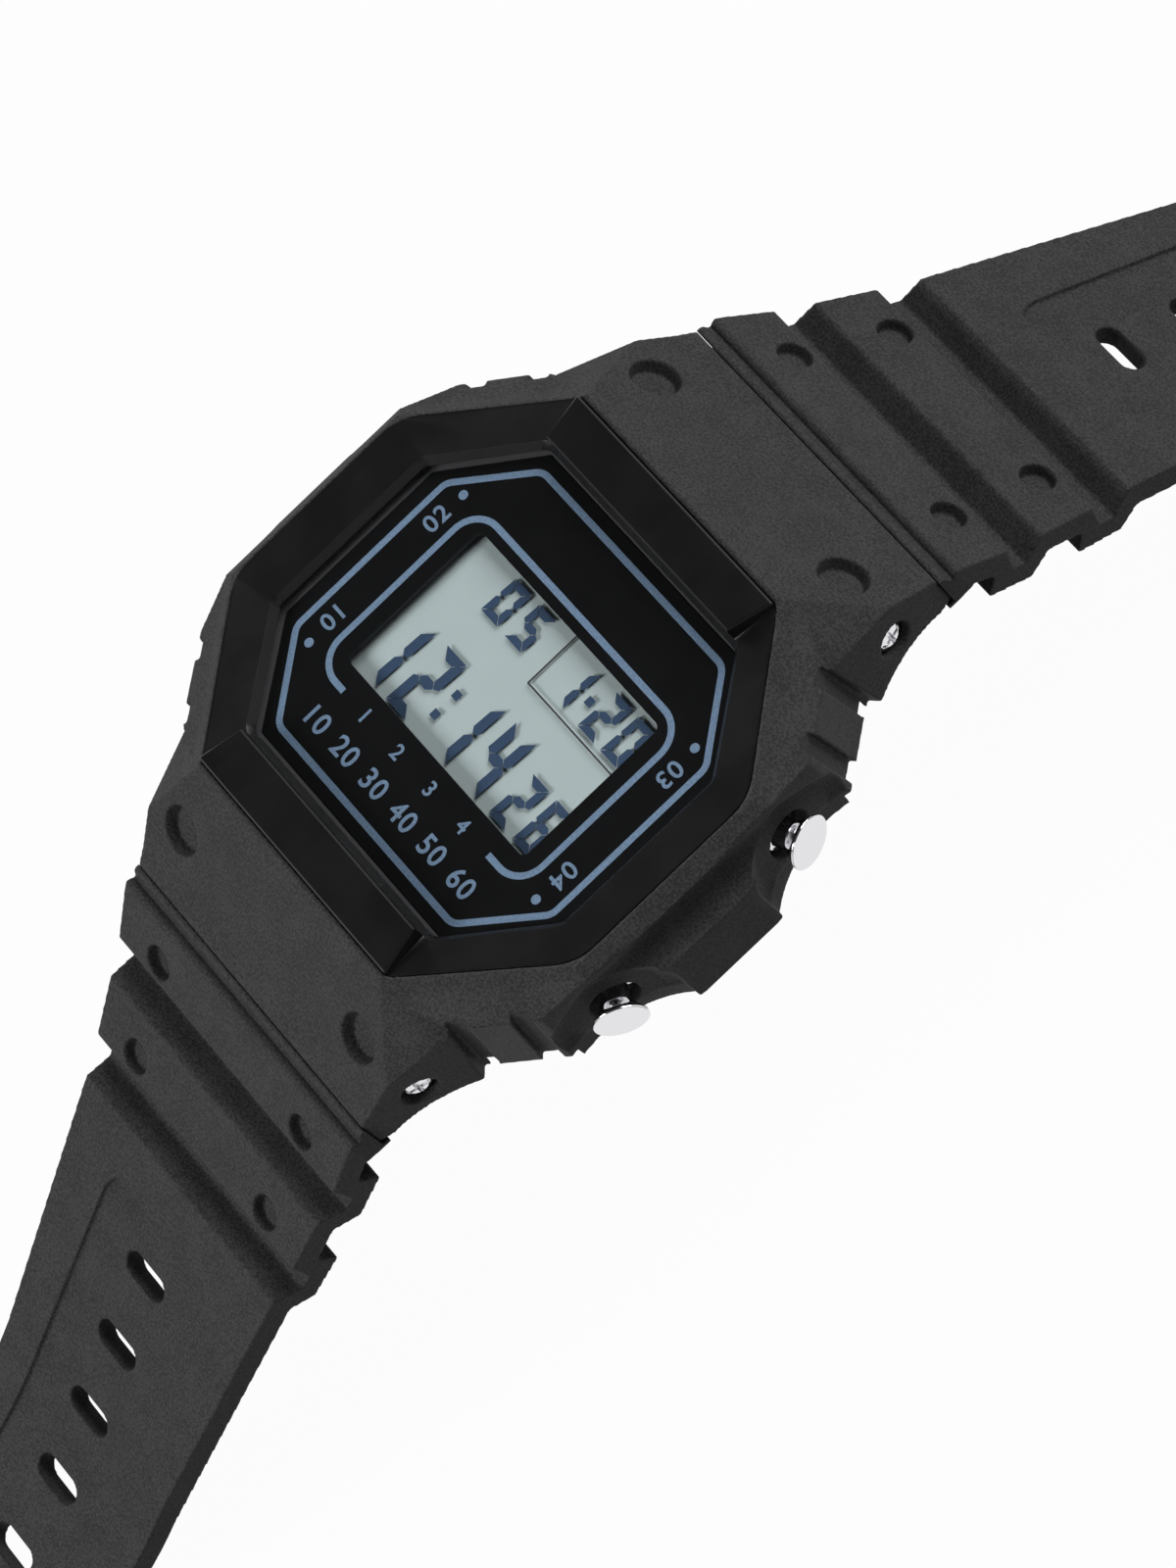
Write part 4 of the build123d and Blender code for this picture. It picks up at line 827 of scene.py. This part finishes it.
class DisplayPanel(bpy.types.Operator):
    """Make the display's pale reflector and the dark digits above it"""
    bl_idname = "watch.display_panel"
    bl_label = "Display"

    def execute(self, context):
        sizes = context.scene.watch_sizes
        low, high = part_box("lcd_panel")
        edge = DISPLAY_EDGE * MM
        outline = [(low.x + edge, low.y + edge), (high.x - edge, low.y + edge),
                   (high.x - edge, high.y - edge), (low.x + edge, high.y - edge)]
        back = placed("display_back", plates("display_back", [outline], low.z,
                                             high.z - sizes.display_depth))
        dressed(back, "display_reflector", CASE, "lcd_panel")
        shapes = [scaled(shape) for shape in digit_outlines()]
        digits = placed("display_digits", plates("display_digits", shapes,
                                                 high.z - sizes.print_height, high.z))
        dressed(digits, "digit_ink", CASE)
        line = placed("display_line", drawn_line(
            DATE_LINE, False, DATE_LINE_WIDTH * MM, DATE_LINE_CORNER * MM, "seal_rubber",
            high.z - sizes.print_height / 2))
        dressed(line, "seal_rubber", CASE)
        return {"FINISHED"}


class SteelPieces(bpy.types.Operator):
    """Finish the buttons, the screws, the back and the buckle"""
    bl_idname = "watch.steel_pieces"
    bl_label = "Steel pieces"

    # Piece, node, body, finish, slot and how many times the metal edge its edges are wide
    pieces = (("bezel_screw_set", "bezel_screws", CASE, "polished_steel", "polished_steel", 0.5),
              ("back_screw_set", "case_back_screws", CASE, "turned_steel", "steel", 0.5),
              ("back_plate", "case_back", CASE, "brushed_steel", "steel", 1),
              ("frame_of_buckle", "buckle_frame", "buckle", "buckle_steel", "polished_steel", 3),
              ("tongue_of_buckle", "buckle_tongue", "tongue", "buckle_steel", "polished_steel", 2))

    def execute(self, context):
        width = context.scene.watch_sizes.metal_edge
        for name in BUTTONS:
            node = "button_" + name
            edged(name + "_button", node, node, "polished_steel", width)
        for name, node, body, material, slot, wide in self.pieces:
            edged(name, node, body, material, width * wide)
        return {"FINISHED"}


class CarriedNodes(bpy.types.Operator):
    """Give each piece that is kept as it is its own finish"""
    bl_idname = "watch.carried_nodes"
    bl_label = "Kept pieces"

    finishes = {
        "case_plastic": ("case_body",),
        "seal_rubber": ("crystal_gasket", "case_back_gasket"),
        "face_ground": ("dial_mask",),
        "clear_plastic": ("light_guide", "backlight_lamp"),
        "striped_rubber": ("contact_strips",),
        "module_plastic": ("module_holder", "battery_tray"),
        "board_lacquer": ("circuit_board",),
        "chip_resin": ("chip",),
        "cell_steel": ("timing_can", "battery"),
        "contact_brass": ("switch_contacts", "alarm_disc"),
        "turned_steel": ("battery_clip", "spring_bar_12", "spring_bar_6", "buckle_pin")}
    button_finishes = {"seal": "seal_rubber", "clip": "turned_steel", "spring": "turned_steel"}

    def execute(self, context):
        for name in BUTTONS:
            for part, finish in self.button_finishes.items():
                self.coat("button_" + part + "_" + name, finish)
        for finish, nodes in self.finishes.items():
            for node in nodes:
                self.coat(node, finish)
        return {"FINISHED"}

    def coat(self, node, finish):
        """Assigns a finish to a kept node."""
        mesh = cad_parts[node].data
        mesh.materials.clear()
        mesh.materials.append(materials()[finish])


class Studio(bpy.types.Operator):
    """Set the floor, the lamps, the world and the camera"""
    bl_idname = "watch.studio"
    bl_label = "Studio"

    def execute(self, context):
        look = context.scene.watch_studio
        self.floor(look)
        self.lamp("lamp_12", (look.lamp_side, look.lamp_reach, look.lamp_rise), look.broad_size,
                  look.broad_power)
        self.lamp("lamp_6", (look.lamp_side, -look.lamp_reach, look.lamp_rise), look.narrow_size,
                  look.narrow_power)
        self.world(context.scene, look)
        self.camera(context.scene, context.scene.watch_view)
        return {"FINISHED"}

    def floor(self, look):
        """Pale floor under the straps' ends, white to the camera but for the shadow."""
        half = look.floor_half
        z = cad_box[0].z
        mesh = bpy.data.meshes.new("floor")
        mesh.from_pydata([(-half, -half, z), (half, -half, z), (half, half, z), (-half, half, z)],
                         [], [(0, 1, 2, 3)])
        shader = Shader(bpy.data.materials.new("floor_paper"))
        seen = shader.node("LightPath", output="Is Camera Ray")
        mirrored = shader.node("LightPath", output="Is Glossy Ray")
        paper = shader.node("BsdfDiffuse", {}, {"Color": (look.paper, look.paper, look.paper, 1.0)})
        glow = shader.node("Emission", {}, {"Color": WHITE, "Strength": 1.0})
        both = shader.node("MixShader", {}, {0: seen * look.white + mirrored, 1: paper, 2: glow})
        shader.node("OutputMaterial", {}, {"Surface": both})
        mesh.materials.append(shader.owner)
        piece = placed("floor", mesh)

    def lamp(self, name, place, size, power):
        """Square soft lamp aimed at the watch."""
        data = bpy.data.lights.new(name, "AREA")
        data.size = size
        data.energy = power
        lamp = placed(name, data)
        lamp.location = place
        lamp.rotation_euler = (-Vector(place)).to_track_quat("-Z", "Y").to_euler()

    def world(self, scene, look):
        """Bright surroundings at the horizon that darken towards the top."""
        world = bpy.data.worlds.new("studio")
        scene.world = world
        shader = Shader(world)
        ray = shader.node("TexCoord", output="Generated")
        height = shader.node("SeparateXYZ", {}, {0: ray}, "Z")
        matte = shader.node("LightPath", output="Is Diffuse Ray")
        level = shader.ramped(height, look.horizon_low, look.horizon_high, look.horizon, look.zenith)
        level = level * (1 - matte * (1 - look.fill))
        back = shader.node("Background", {}, {"Color": WHITE, "Strength": level})
        shader.node("OutputWorld", {}, {"Surface": back})

    def camera(self, scene, view):
        """Camera at the photograph's angle."""
        toward = Vector((sin(view.turn) * cos(view.rise), sin(view.rise),
                         cos(view.turn) * cos(view.rise)))
        right = Vector((0, 1, 0)).cross(toward).normalized()
        up = toward.cross(right)
        rolled_right = cos(view.roll) * right + sin(view.roll) * up
        rolled_up = -sin(view.roll) * right + cos(view.roll) * up
        turn = Matrix((rolled_right, rolled_up, toward)).transposed()
        place = turn @ Vector((view.shift_right, view.shift_up, view.distance))
        place.z += crystal_low()
        data = bpy.data.cameras.new("camera")
        data.sensor_width = SENSOR
        data.lens = view.focal_pixels / PICTURE_HEIGHT * SENSOR
        data.clip_start = NEAR
        data.clip_end = FAR
        camera = placed("camera", data)
        camera.matrix_world = Matrix.Translation(place) @ turn.to_4x4()
        scene.camera = camera
        scene.view_settings.view_transform = "Standard"


class WatchPanel(bpy.types.Panel):
    """Sidebar panel that lists the watch's steps and settings"""
    bl_idname = "VIEW3D_PT_watch"
    bl_label = "Watch"
    bl_space_type = "VIEW_3D"
    bl_region_type = "UI"
    bl_category = "Watch"

    def draw(self, context):
        for step in STEPS:
            self.layout.operator(step.bl_idname)
        for name, group in GROUPS.items():
            box = self.layout.box()
            for setting in group.__annotations__:
                box.prop(getattr(context.scene, name), setting)


STEPS = (MouldedResin, BezelRing, CrystalPlate, PrintedFace, DisplayPanel, SteelPieces,
         CarriedNodes, Studio)
GROUPS = {"watch_sizes": WatchSizes, "watch_colours": WatchColours, "watch_view": WatchView,
          "watch_studio": WatchStudio}


def register():
    """Registers the settings, the steps and the panel."""
    for name, group in GROUPS.items():
        bpy.utils.register_class(group)
        setattr(bpy.types.Scene, name, PointerProperty(type=group))
    for step in STEPS + (WatchPanel,):
        bpy.utils.register_class(step)


def unregister():
    """Takes them away again."""
    for step in (WatchPanel,) + STEPS[::-1]:
        bpy.utils.unregister_class(step)
    for name, group in GROUPS.items():
        delattr(bpy.types.Scene, name)
        bpy.utils.unregister_class(group)


def main():
    """Dresses the watch."""
    register()
    for step in STEPS:
        group, action = step.bl_idname.split(".")
        getattr(getattr(bpy.ops, group), action)()


if __name__ == "__main__":
    main()
